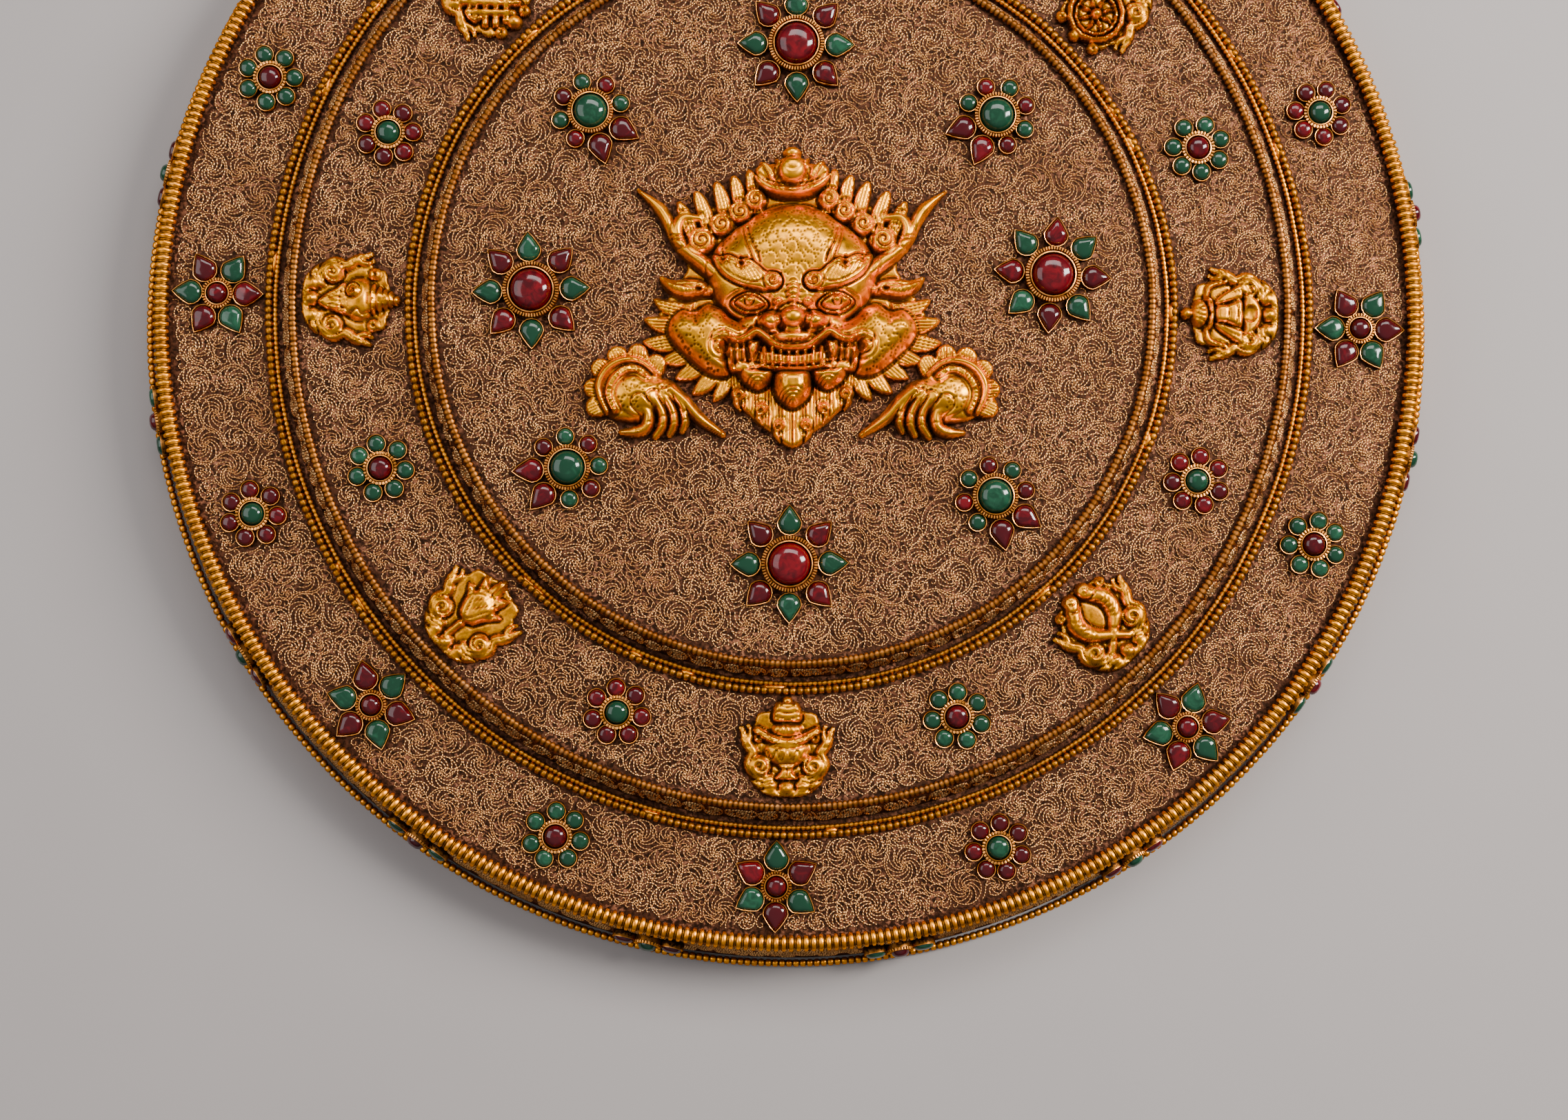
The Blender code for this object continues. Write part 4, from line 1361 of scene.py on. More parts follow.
def rooms(place: Matrix, angle: float, *spots: Point) -> list[Triple]:
    """The room that part of a flower takes.

    Args:
        place: where the flower stands.
        angle: the angle of the part about the flower's centre.
        spots: how far out each disc of it lies, and the disc's radius.

    Returns:
        The discs on the plaque.
    """
    found = []
    for reach, radius in spots:
        spot = (place @ Matrix.Translation((reach * cos(angle), reach * sin(angle), 0.0))).translation
        found.append((spot.x, spot.y, radius))
    return found


def numbered(name: str, count: int) -> list[str]:
    """The names of some solids that are numbered from 1."""
    return [f"{name}_{i + 1}" for i in range(count)]


@dataclass
class Flowers:
    """Every flower of stones, level by level."""

    bench: dict[str, Finish]
    discs: dict[str, list[Triple]] = field(default_factory=dict)

    def rounds(self, jewels: Jewels, place: Matrix, turn: float, petals: Hue, rng: Rng) -> list[Triple]:
        """Set a flower of seven round stones.

        Args:
            jewels: the settings that it joins.
            place: where it stands.
            turn: the angle of its first stone.
            petals: the kind of its outer stones.
            rng: the source of chance.

        Returns:
            The room that it takes.
        """
        discs = rooms(place, 0.0, (0.0, 6.4))
        for i in range(7):
            angle = turn + 2 * pi * i / 7 + rng.normal(0, 0.02)
            near = 4.15 + rng.normal(0, 0.08)
            jewels.cup(place, Cup(angle, near, far=near + 5.5, half=2.72, pointed=False, hue=petals), rng)
            discs += rooms(place, angle, (6.9, 2.75))
        jewels.centre(place, radius=4.9, stone=3.15, rise=4.0, hue=petals.other, beads=30, rng=rng)
        return discs

    def lower(self) -> None:
        """Star flowers and round flowers by turns on the lower ledge."""
        rng = np.random.default_rng(11)
        stars, rounds = Jewels(), Jewels()
        discs = []
        inward = (GREEN, RED, GREEN, RED, RED, GREEN, GREEN, RED)
        level = LOWER_LEVEL - SEAT
        for i in range(8):
            degrees = OUTER_TURN + 45 * i
            place = standing(LOWER_RING, degrees, level)
            for k in range(6):
                angle = radians(degrees) + pi * k / 3 + rng.normal(0, 0.02)
                hue = inward[i] if k % 2 else inward[i].other
                stars.cup(place, Cup(angle, near=4.1, far=12.95, half=3.65, pointed=True, hue=hue), rng)
                discs += rooms(place, angle, (7.6, 3.6), (10.6, 2.1))
            stars.centre(place, radius=4.5, stone=2.8, rise=4.0, hue=RED, beads=32, rng=rng)
            discs += rooms(place, 0.0, (0.0, 5.2))
            degrees += 22.5
            place = standing(LOWER_RING, degrees, level)
            discs += self.rounds(rounds, place, radians(degrees), (RED, GREEN)[i % 2], rng)
        stars.finish("star_flowers", self.bench, numbered("star_flower", 8))
        rounds.finish("lower_round_flowers", self.bench, numbered("lower_round_flower", 8))
        self.discs["lower"] = discs

    def middle(self) -> None:
        """Round flowers between the symbols."""
        rng = np.random.default_rng(12)
        rounds = Jewels()
        discs = []
        for i in range(8):
            degrees = MIDDLE_TURN + 22.5 + 45 * i
            place = standing(MIDDLE_RING, degrees, MIDDLE_LEVEL - SEAT)
            discs += self.rounds(rounds, place, radians(degrees), (GREEN, RED)[i % 2], rng)
        rounds.finish("middle_round_flowers", self.bench, numbered("middle_round_flower", 8))
        self.discs["middle"] = discs

    def upper(self) -> None:
        """The big flowers and the mixed ones around the mask."""
        rng = np.random.default_rng(13)
        big, mixed = Jewels(), Jewels()
        discs = []
        level = UPPER_LEVEL - SEAT
        for degrees, turn, axial in (
            (6.3, -5.0, RED), (89.3, 0.0, GREEN), (177.5, 2.0, GREEN), (-90.9, 0.0, GREEN),
        ):
            place = standing(BIG_RING, degrees, level)
            for k in range(8):
                angle = radians(turn + 45 * k) + rng.normal(0, 0.015)
                hue = axial.other if k % 2 else axial
                big.cup(place, Cup(angle, near=7.8, far=16.5, half=3.5, pointed=True, hue=hue, rise=3.0), rng)
                discs += rooms(place, angle, (11.0, 3.4), (13.8, 2.1))
            big.centre(place, radius=8.0, stone=5.8, rise=5.6, hue=RED, beads=60, rng=rng)
            discs += rooms(place, 0.0, (0.0, 8.8))
        # Each one's angle, how far it is turned, which of its stones are pears, and its first round hue
        for degrees, turn, pears, first in (
            (42.8, 20, (4, 5), 1),
            (136.6, 16, (6, 7), 0),
            (-143.5, 4, (4, 5), 0),
            (-44.0, 11, (6, 7), 1),
        ):
            place = standing(MIXED_RING, degrees, level)
            for k in range(8):
                angle = radians(turn) + pi * k / 4
                if k in pears:
                    pear = Cup(angle, near=6.3, far=15.4, half=3.5, pointed=True, hue=RED, rise=2.9)
                    mixed.cup(place, pear, rng)
                    discs += rooms(place, angle, (9.9, 3.4), (12.8, 2.1))
                else:
                    hue = (GREEN, RED)[(k + first) % 2]
                    stone = Cup(angle, near=6.0, far=11.3, half=2.6, pointed=False, hue=hue, rise=2.6)
                    mixed.cup(place, stone, rng)
                    discs += rooms(place, angle, (8.7, 2.6))
            mixed.centre(place, radius=6.5, stone=4.65, rise=5.2, hue=GREEN, beads=48, rng=rng)
            discs += rooms(place, 0.0, (0.0, 7.4))
        big.finish("big_flowers", self.bench, numbered("big_flower", 4))
        mixed.finish("mixed_flowers", self.bench, numbered("mixed_flower", 4))
        self.discs["upper"] = discs


class Bosses:
    """The three-stone bosses around the outer wall."""

    COUNT = 16
    # Where they stand up the wall, how far the side cups lie from the middle, and the room of each cup
    HEIGHT, SPREAD = 10.4, 6.9
    ROOM_HEIGHT, ROOM_SPREAD, ROOM = 10.0, 7.2, 4.3

    def places(self) -> list[float]:
        """Their angles in degrees."""
        return [OUTER_TURN + 11.25 + 22.5 * i for i in range(self.COUNT)]

    def openings(self) -> list[Triple]:
        """Find the room that they take on the unrolled wall.

        Returns:
            The discs, three to a boss.
        """
        middle = (LOWER_FOOT + LOWER_TOP) / 2
        round_about = 2 * pi * middle
        found = []
        for degrees in self.places():
            centre = radians(degrees) * middle % round_about
            found += [(centre + way * self.ROOM_SPREAD, self.ROOM_HEIGHT, self.ROOM) for way in (-1, 0, 1)]
        return found

    def build(self, bench: dict[str, Finish]) -> None:
        """Solder on the cups and set the stones.

        Args:
            bench: the materials.
        """
        rng = np.random.default_rng(14)
        jewels = Jewels(columns=14)
        lean = atan2(LOWER_FOOT - LOWER_TOP, LOWER_LEVEL)
        radius = LOWER_FOOT - (LOWER_FOOT - LOWER_TOP) * self.HEIGHT / LOWER_LEVEL
        for i, degrees in enumerate(self.places()):
            place = standing(radius, degrees, self.HEIGHT)
            place = place @ Matrix.Rotation(radians(degrees), 4, "Z") @ Matrix.Rotation(pi / 2 - lean, 4, "Y")
            # In this frame z stands out of the wall and y runs along it
            sides, middle = (RED, GREEN) if i % 2 else (GREEN, RED)
            for way in (-1, 1):
                outward = Matrix.Rotation(way * pi / 2, 4, "Z")
                spot = place @ Matrix.Translation((0.0, way * self.SPREAD, 0.0)) @ outward
                side = Cup(0.0, near=-3.4, far=3.4, half=2.75, pointed=False, hue=sides, rise=3.1)
                jewels.cup(spot, side, rng)
            jewels.centre(place, radius=4.1, stone=2.7, rise=4.1, hue=middle, beads=26, rng=rng)
        jewels.finish("wall_bosses", bench, [])


# Chased reliefs


class Relief:
    """A sheet raised from behind and chased from the front, sampled on a fine grid.

    Forms are laid one over the other. Where a mirrored relief is drawn, only its right half is
    worked and the left is its reflection.
    """

    # The chased line around a form: how far outside its edge it runs, its half width and its least ground
    LINE_SHIFT, LINE_WIDTH, LINE_GROUND = 0.2, 0.34, 0.3
    # A punched dot's half width and depth
    DOT_WIDTH, DOT_DEPTH = 0.34, 0.24
    # Points nearer the edge than this share of a cell are drawn to it
    SETTLE = 0.75
    # How far the sheet's rim reaches below its ground
    SKIRT = 0.35

    def __init__(self, low: Point, high: Point, cell: float, mirrored: bool = False) -> None:
        """Lay out the grid.

        Args:
            low: its lower corner.
            high: its upper corner.
            cell: the grid's spacing.
            mirrored: whether the left half reflects the right.
        """
        self.cell = cell
        self.mirrored = mirrored
        self.low = (0.0 if mirrored else low[0], low[1])
        self.x, self.y = np.meshgrid(
            np.arange(self.low[0], high[0] + cell, cell), np.arange(low[1], high[1] + cell, cell),
        )
        self.height = np.zeros(self.x.shape)
        self.inside = np.full(self.x.shape, -9.0)
        self.dots = np.zeros(self.x.shape)

    def part(self, points: Array, margin: float) -> tuple[slice, slice]:
        """Find the part of the grid around some points.

        Args:
            points: the points.
            margin: how much is taken around them.

        Returns:
            Its rows and columns.
        """
        low, high = points.min(0) - margin, points.max(0) + margin
        rows = span(low[1], high[1], self.low[1], self.cell, self.x.shape[0])
        return rows, span(low[0], high[0], self.low[0], self.cell, self.x.shape[1])

    def lay(self, part: tuple[slice, slice], inside: Array, form: Array, over: bool, line: float) -> None:
        """Lay one form on what is there, with a chased line around it.

        Args:
            part: the part of the grid.
            inside: how far inside the form's outline each point lies.
            form: the form's height there.
            over: whether its height is added to what lies below.
            line: how deep the line around it is.
        """
        below = self.height[part]
        if line:
            chased = np.exp(-(((inside + self.LINE_SHIFT) / self.LINE_WIDTH) ** 2))
            below = below - line * chased * (below > self.LINE_GROUND)
        laid = below + form if over else np.maximum(below, form)
        self.height[part] = np.where(inside > 0, laid, below)
        self.inside[part] = np.maximum(self.inside[part], inside)

    def dome(
        self, x: float, y: float, half_x: float, half_y: float, rise: float, turn: float = 0.0,
        over: bool = False, line: float = 0.3, flat: float = 2.0,
    ) -> None:
        """Raise a boss on an oval foot.

        Args:
            x: its centre's x.
            y: its centre's y.
            half_x: its half width.
            half_y: its half length.
            rise: its height.
            turn: how far it is turned, in degrees.
            over: whether it stands on what lies below.
            line: how deep the line around it is.
            flat: 2 for a round top, and more for a flatter one.
        """
        reach = max(half_x, half_y)
        part = self.part(np.array([[x - reach, y - reach], [x + reach, y + reach]]), 1.5)
        across, along = self.x[part] - x, self.y[part] - y
        c, s = cos(radians(turn)), sin(radians(turn))
        share = np.hypot((across * c + along * s) / half_x, (along * c - across * s) / half_y)
        form = rise * np.sqrt(np.clip(1 - share**flat, 0, 1))
        self.lay(part, (1 - share) * min(half_x, half_y), form, over, line)

    def pillow(
        self, outline: Line, rise: float, bevel: float, over: bool = False, line: float = 0.3, steps: int = 5,
    ) -> None:
        """Raise a form with rounded edges inside a smooth outline.

        Args:
            outline: the outline.
            rise: the form's height.
            bevel: how wide its rounded edge is.
            over: whether it stands on what lies below.
            line: how deep the line around it is.
            steps: how finely it is rounded, 0 for not at all.
        """
        edge = smooth(outline, steps, closed=True)
        part = self.part(edge, 1.5)
        inside = within(edge, self.x[part], self.y[part])
        share = np.clip(inside / bevel, 0, 1)
        self.lay(part, inside, rise * np.sqrt(1 - (1 - share) ** 2), over, line)

    def ridge(
        self, path: Line, widths: Sequence[float], rises: Sequence[float], line: float = 0.25, steps: int = 5,
    ) -> None:
        """Raise a round ridge along a line.

        Args:
            path: the line.
            widths: the ridge's half widths along it.
            rises: the ridge's heights along it.
            line: how deep the line around it is.
            steps: how finely it is rounded, 0 for not at all.
        """
        spine = smooth(path, steps)
        part = self.part(spine, max(widths) + 1.2)
        away, share = nearest(spine, self.x[part], self.y[part])
        width, rise = (np.interp(share, np.linspace(0, 1, len(some)), some) for some in (widths, rises))
        form = rise * np.sqrt(np.clip(1 - (away / width) ** 2, 0, 1))
        self.lay(part, width - away, form, False, line)

    def groove(self, path: Line, width: float = 0.3, depth: float = 0.45, steps: int = 5) -> None:
        """Chase a line.

        Args:
            path: the line.
            width: its half width.
            depth: its depth.
            steps: how finely it is rounded, 0 for not at all.
        """
        spine = smooth(path, steps)
        part = self.part(spine, 3 * width)
        away, _ = nearest(spine, self.x[part], self.y[part])
        self.height[part] -= depth * np.exp(-((away / width) ** 2))

    def hatch(
        self, outline: Line, turn: float, pitch: float = 0.85, depth: float = 0.28, inset: float = 0.35,
        steps: int = 4,
    ) -> None:
        """Chase fine lines across a form.

        Args:
            outline: the form's outline.
            turn: the lines' direction in degrees.
            pitch: their spacing.
            depth: how deep they are.
            inset: how far from the outline they end.
            steps: how finely the outline is rounded, 0 for not at all.
        """
        edge = smooth(outline, steps, closed=True)
        part = self.part(edge, 0.5)
        inside = within(edge, self.x[part], self.y[part])
        middle = edge.mean(0)
        c, s = cos(radians(turn)), sin(radians(turn))
        across = (self.y[part] - middle[1]) * c - (self.x[part] - middle[0]) * s
        wave = np.cos(2 * pi * across / pitch)
        self.height[part] -= depth * np.clip(wave, 0, 1) ** 1.5 * np.clip((inside - inset) / 0.3, 0, 1)

    def hole(self, x: float, y: float, radius: float = 0.7, depth: float = 1.4) -> None:
        """Drill a small blind hole.

        Args:
            x: its centre's x.
            y: its centre's y.
            radius: its radius.
            depth: its depth.
        """
        part = self.part(np.array([[x, y]]), 2.5 * radius)
        away = np.hypot(self.x[part] - x, self.y[part] - y)
        self.height[part] -= depth * np.clip(1.35 - away / radius, 0, 1) ** 0.7

    def snail(
        self, x: float, y: float, radius: float, rise: float, start: float = 0.0, hand: int = 1,
        turns: float = 1.7, over: bool = False,
    ) -> None:
        """Raise a snail curl.

        Args:
            x: its centre's x.
            y: its centre's y.
            radius: its radius.
            rise: its height.
            start: the angle at which its line starts, in degrees.
            hand: 1 if the line winds to the left, -1 to the right.
            turns: how often it goes round.
            over: whether it stands on what lies below.
        """
        self.dome(x, y, radius, radius, rise, over=over, line=0.5, flat=4.5)
        line = arc(x, y, 0.80 * radius, start, hand * 360 * turns, 0.14)
        self.groove(line, 0.30, 0.80, 0)

    def leaf(
        self, start: Point, end: Point, half: float, rise: float, bend: float = 0.0, root: float = 0.7,
        pitch: float = 0.85, tip: Tip = Tip.SHARP, bevel: float = 1.6,
    ) -> None:
        """Raise a leaf with lines along it.

        Args:
            start: the middle of its root.
            end: its tip.
            half: its greatest half width.
            rise: its height.
            bend: how far its middle swings to the left, as a share of its length.
            root: the half width at its root, as a share.
            pitch: the lines' spacing.
            tip: how it ends.
            bevel: how wide its rounded edge is.
        """
        outline = leaf(start, end, half, bend, root, tip)
        self.pillow(outline, rise, bevel, steps=0)
        turn = np.degrees(atan2(end[1] - start[1], end[0] - start[0]))
        self.hatch(outline, turn, pitch, 0.32, 0.3, 0)

    def reflect(self) -> None:
        """Complete a mirrored relief with its left half."""
        if self.mirrored:
            self.x = np.hstack([-self.x[:, :0:-1], self.x])
            self.y = np.hstack([self.y[:, :0:-1], self.y])
            self.height = np.hstack([self.height[:, :0:-1], self.height])
            self.inside = np.hstack([self.inside[:, :0:-1], self.inside])
            self.dots = np.hstack([self.dots[:, :0:-1], self.dots])
            self.low = (float(self.x[0, 0]), self.low[1])
            self.mirrored = False

    def flip(self) -> None:
        """Turn the relief left for right."""
        self.x, self.y = -self.x[:, ::-1], self.y[:, ::-1]
        self.height, self.inside = self.height[:, ::-1], self.inside[:, ::-1]
        self.dots = self.dots[:, ::-1]

    def scales(self, outline: Sequence[Point], rng: Rng, pitch: float = 3.5) -> None:
        """Punch rows of dots around scales inside an outline.

        Args:
            outline: the outline.
            rng: the source of chance.
            pitch: the scales' spacing.
        """
        edge = smooth(outline, 5, closed=True)
        low, high = edge.min(0), edge.max(0)
        spots: list[Point] = []
        for row, y in enumerate(np.arange(low[1], high[1] + pitch, pitch * 0.84)):
            for x in np.arange(low[0] + (row % 2) * pitch / 2, high[0] + pitch, pitch):
                centre = np.array([x, y]) + rng.normal(0, 0.22, 2)
                reach = pitch * 0.47 * rng.uniform(0.9, 1.05)
                count = round(2 * pi * reach / 1.0)
                for k in range(count):
                    angle = 2 * pi * (k + rng.uniform(-0.12, 0.12)) / count
                    spot = (centre[0] + reach * cos(angle), centre[1] + reach * sin(angle))
                    if all(hypot(spot[0] - a, spot[1] - b) > 0.82 for a, b in spots[-160:]):
                        spots.append(spot)
        table = np.array(spots)
        for x, y in table[within(edge, table[:, 0], table[:, 1]) > 0.5]:
            part = self.part(np.array([[x, y]]), 0.8)
            away = np.hypot(self.x[part] - x, self.y[part] - y)
            dot = np.exp(-((away / self.DOT_WIDTH) ** 2))
            self.height[part] -= self.DOT_DEPTH * dot
            self.dots[part] = np.maximum(self.dots[part], dot)

    def patina_and_shade_tone(self) -> Array:
        """Find how deep each point lies against the work around it, as a tone for patina and painted shade.

        Returns:
            A tone from 0 on a crest to 1 where it is darkest.
        """
        reach = max(2, round(0.75 / self.cell))
        blurred = self.height
        for axis in (0, 1):
            pad = [(reach, reach) if axis == k else (0, 0) for k in (0, 1)]
            total = np.cumsum(np.pad(blurred, pad, mode="edge"), axis)
            count = blurred.shape[axis]
            high = np.take(total, np.arange(2 * reach, count + 2 * reach), axis)
            low = np.take(total, np.arange(0, count), axis)
            blurred = (high - low) / (2 * reach)
        # Painted shade: the lower the sheet lies, the darker; creases take patina and painted shade, and the
        # punched dots take painted shade.
        low_ground_shade = 0.6 * np.exp(-np.clip(self.height, 0, 9) / 2.2)
        return np.clip((blurred - self.height - 0.04) / 0.42, 0, 1) * 0.85 + low_ground_shade + 0.9 * self.dots

    def cast(self, shell: Shell, place: Matrix, edge: float = 0.7, warp: float = 0.0) -> Array:
        """Add the sheet to a shell.

        Args:
            shell: the mesh that it joins.
            place: where it lies, in millimetres.
            edge: the sheet's least height.
            warp: how far the hand strayed from the drawing.

        Returns:
            Points all over its footprint.
        """
        self.reflect()
        tone = self.patina_and_shade_tone()
        inside = self.inside
        rise = np.maximum(self.height, edge)
        slope_y, slope_x = np.gradient(inside, self.cell)
        steep = np.maximum(np.hypot(slope_x, slope_y), 0.5)
        near = self.SETTLE * self.cell
        settle = np.where(np.abs(inside) < near, inside, 0) / steep**2
        x = self.x - settle * slope_x
        y = self.y - settle * slope_y
        if warp:
            shift = warp * np.sin(self.y / 9.0 + 1.3) * np.tanh(self.x / 12)
            x, y = x + shift, y + 0.8 * warp * np.sin(self.x / 13.0 + 0.4)
        solid = inside > -near
        kept = solid[:-1, :-1] & solid[:-1, 1:] & solid[1:, :-1] & solid[1:, 1:]
        kept &= (inside[:-1, :-1] + inside[1:, 1:] + inside[:-1, 1:] + inside[1:, :-1]) > 0
        index = np.arange(inside.size).reshape(inside.shape)
        corners = np.stack([index[:-1, :-1], index[:-1, 1:], index[1:, 1:], index[1:, :-1]], -1)
        faces = [corners[kept]]
        around = np.pad(kept, 1)
        foot = inside.size
        for shift, (a, b) in (((0, 1), (0, 1)), ((2, 1), (2, 3)), ((1, 0), (3, 0)), ((1, 2), (1, 2))):
            beside = around[shift[0] : shift[0] + kept.shape[0], shift[1] : shift[1] + kept.shape[1]]
            some = corners[kept & ~beside]
            faces.append(np.stack([some[:, b], some[:, a], some[:, a] + foot, some[:, b] + foot], 1))
        top = np.stack([x.ravel(), y.ravel(), rise.ravel()], 1)
        bottom = np.stack([x.ravel(), y.ravel(), np.full(x.size, -self.SKIRT)], 1)
        points = move(place, np.vstack([top, bottom]))
        # The skirt's lower edge takes a dark tone: painted shade where the sheet meets the ground.
        shell.add(points, faces, np.concatenate([tone.ravel(), np.full(x.size, 0.9)]))
        every = max(1, round(0.9 / self.cell))
        marks = np.zeros(inside.shape, bool)
        marks[::every, ::every] = True
        return points[: inside.size][(marks & (inside > 0)).ravel()]


class CheppuMask(Relief):
    """The gilt mask: horned and crowned head, lion's brows, wide mouth, and a beard of curls."""

    CELL = 0.29

    def __init__(self) -> None:
        """Lay out its grid."""
        super().__init__((-44.2, -42), (44.2, 45), self.CELL, mirrored=True)

    def ground(self) -> None:
        """The plate behind, the beard with its lines, and the leaf locks around the cheeks."""
        back = [
            (0, 31), (9.5, 33), (15, 30.4), (19.6, 28.2), (24.6, 25.6), (29.4, 22.6), (30, 18), (29, 9),
            (34.6, 0.6), (37, -4), (37.2, -9.8),
        ]
        back += [(34.4, -14.6), (30.2, -18.8), (25.6, -22.4), (20.4, -24.4), (14, -22), (0, -22), (-6, 0)]
        self.pillow(back, 1.9, 1, steps=3)
        locks = (
            (20.8, -24, -70, 2.7),
            (25.4, -22.2, -55, 2.9),
            (29.8, -19, -41, 3),
            (33, -14.8, -27, 3),
            (37.2, -10.4, -12, 3),
            (37.2, -5, 2, 2.9),
            (34.4, -0.2, 14, 2.6),
        )
        for k, (x, y, degrees, half) in enumerate(locks):
            way = (cos(radians(degrees)), sin(radians(degrees)))
            root = (x - 7.5 * way[0], y - 7.5 * way[1])
            reach = (3.9, 4.4, 3.7)[k % 3]
            self.leaf(
                root, (x + reach * way[0], y + reach * way[1]), half, 2.7 + 0.3 * (k % 2), -0.12, 0.9, 0.9,
                Tip.SOFT, 1,
            )
        beard = [
            (0, -16), (19, -16), (18.4, -20.5), (17.4, -24), (15.6, -28.4), (12, -31.6), (9.4, -34.2),
            (5.4, -36.8), (2.6, -39.6), (0, -40.7),
        ]
        full_beard = beard + sided(-1, beard[-2:0:-1])
        self.pillow(full_beard, 3.2, 1.4)
        self.hatch(full_beard, 90, 0.95, 0.42, 0.5)

    def beard_curls(self) -> None:
        """The hooked curls of the beard."""
        for x, y, radius in ((14.8, -25.6, 2.5), (8.6, -29.8, 2.3), (3.6, -34.4, 2.1)):
            tail = [(x + 0.7, y - 0.6), (x + 0.9, y - 2.4), (x - 0.2, y - 4.6)]
            self.ridge(tail, (1.1, 1, 0.3), (4.4, 4.2, 3.4))
            self.dome(x, y, radius, radius, 5)
            self.groove(arc(x, y, 0.72 * radius, 250, -300, 0.7), 0.24, 0.5, 0)
            self.hole(x + 0.25, y - 0.35, 0.75, 1.6)

    def feathers(self) -> None:
        """The upright feather locks behind the crown."""
        for x, y, half in (
            (31, 27.2, 2.2), (26.3, 30.2, 2.35), (20.8, 32.7, 2.4), (16.2, 34.6, 2.3), (11.8, 36.2, 2.3),
        ):
            self.leaf((0.86 * x, y - 12), (1.03 * x, y + 0.9), half + 0.05, 4, 0.03, 1, 0.9, Tip.ROUND, 0.9)

    def ears_and_horns(self) -> None:
        """Leaf ears with their veins, and the branched horns."""
        ear = [
            (20.5, 3.6), (23.6, 5.8), (28, 6.6), (32.4, 6.2), (36.6, 7.2), (34.6, 3), (30, 0.6), (25, 1.2),
            (21.4, 1.6),
        ]
        self.pillow(ear, 5.2, 2.8, line=0.5)
        lower = [(24, 3.2), (29, 3.9), (35.8, 5.8), (33.6, 2.9), (29.6, 1.4), (25.4, 1.8)]
        self.pillow(lower, 0.7, 0.9, over=True)
        self.hatch(lower, 62, 0.95, 0.34, 0.4)
        self.groove([(24.4, 4.4), (28.4, 4.9), (32.6, 4.8), (36, 6.5)], 0.26, 0.45)
        self.groove([(22.8, 5.2), (23.6, 3.6), (23.2, 2.2)], 0.3, 0.6)
        self.hole(25.6, 3.4, 0.8, 1.8)
        horn = [
            (20, 7), (23.2, 9.7), (27, 12.6), (30.1, 15.3), (32.2, 18.2), (33.8, 21.2), (37, 26.2),
            (43.1, 31.3),
        ]
        self.ridge(
            horn, (2.5, 2.5, 2.4, 2.2, 2.1, 1.9, 1.8, 0.35), (6.4, 6.2, 5.8, 5.2, 4.8, 4.2, 3.8, 2.2),
            line=0.5,
        )
        branch = [(31, 16.6), (31.9, 20.4), (30.2, 23.3), (26, 23.2)]
        self.ridge(branch, (1.8, 2, 1.9, 1.3), (5, 5, 4.7, 4.2), line=0.5)
        self.groove([(29.6, 17.6), (31.6, 16.9), (33.4, 17.4)], 0.26, 0.55)
        self.groove([(29.9, 18.7), (31.8, 18), (33.6, 18.6)], 0.26, 0.55)

    def curls_and_crown(self) -> None:
        """The snail curls over the forehead, and the crown bowl with its jewel."""
        for x, y, radius, hand in (
            (25.1, 17, 4, -1), (19.7, 21.5, 3.5, -1), (14.6, 25, 3.4, -1), (10.4, 28.4, 3.2, -1),
        ):
            self.snail(x, y, radius, 5.6, 200, hand)
        self.pillow([
            (0, 29.8), (8, 31.5), (10.6, 35.4), (9.4, 38.2), (5.6, 38.6), (2.6, 39), (0, 39.4), (-4, 38),
            (-9, 34),
        ], 4.8, 1.4, line=0.5)
        for start, end, half in (((5.2, 33.4), (9.2, 38.9), 1.5), ((2.8, 34.4), (4.8, 39.9), 1.4)):
            self.leaf(start, end, half, 5.8, 0.1, 0.9, 0.8, Tip.SOFT, 1)
        self.dome(0, 36, 4.9, 4.9, 7.2, line=0.5, flat=4)
        self.dome(0, 36, 3.7, 3.8, 1.1, over=True, line=0.6, flat=3)
        bowl = [
            (-11.4, 36.8), (-9.9, 32.3), (-5.6, 29.3), (0, 28.3), (5.6, 29.3), (9.9, 32.3), (11.4, 36.8),
            (9.9, 35.4), (5.8, 33.1), (0, 32.3), (-5.8, 33.1), (-9.9, 35.4),
        ]
        self.pillow(bowl, 7.8, 3, line=0.6)
        self.groove([(10.9, 35.6), (8.8, 33), (5.2, 31.2), (0, 30.5), (-5.2, 31.2)], 0.28, 0.6)
        self.groove([(10.9, 36.3), (8.8, 33.9), (5.2, 32), (0, 31.3), (-5.2, 32)], 0.24, 0.4)
        self.groove([(9.2, 31.8), (5.2, 29.7), (0, 28.9), (-5.2, 29.7)], 0.22, 0.3)
        self.ridge([(0, 38.4), (0, 40)], (2.4, 1.9), (3.8, 4), steps=1)
        self.dome(0, 41.3, 2.6, 2, 5.2, line=0.5, flat=3)

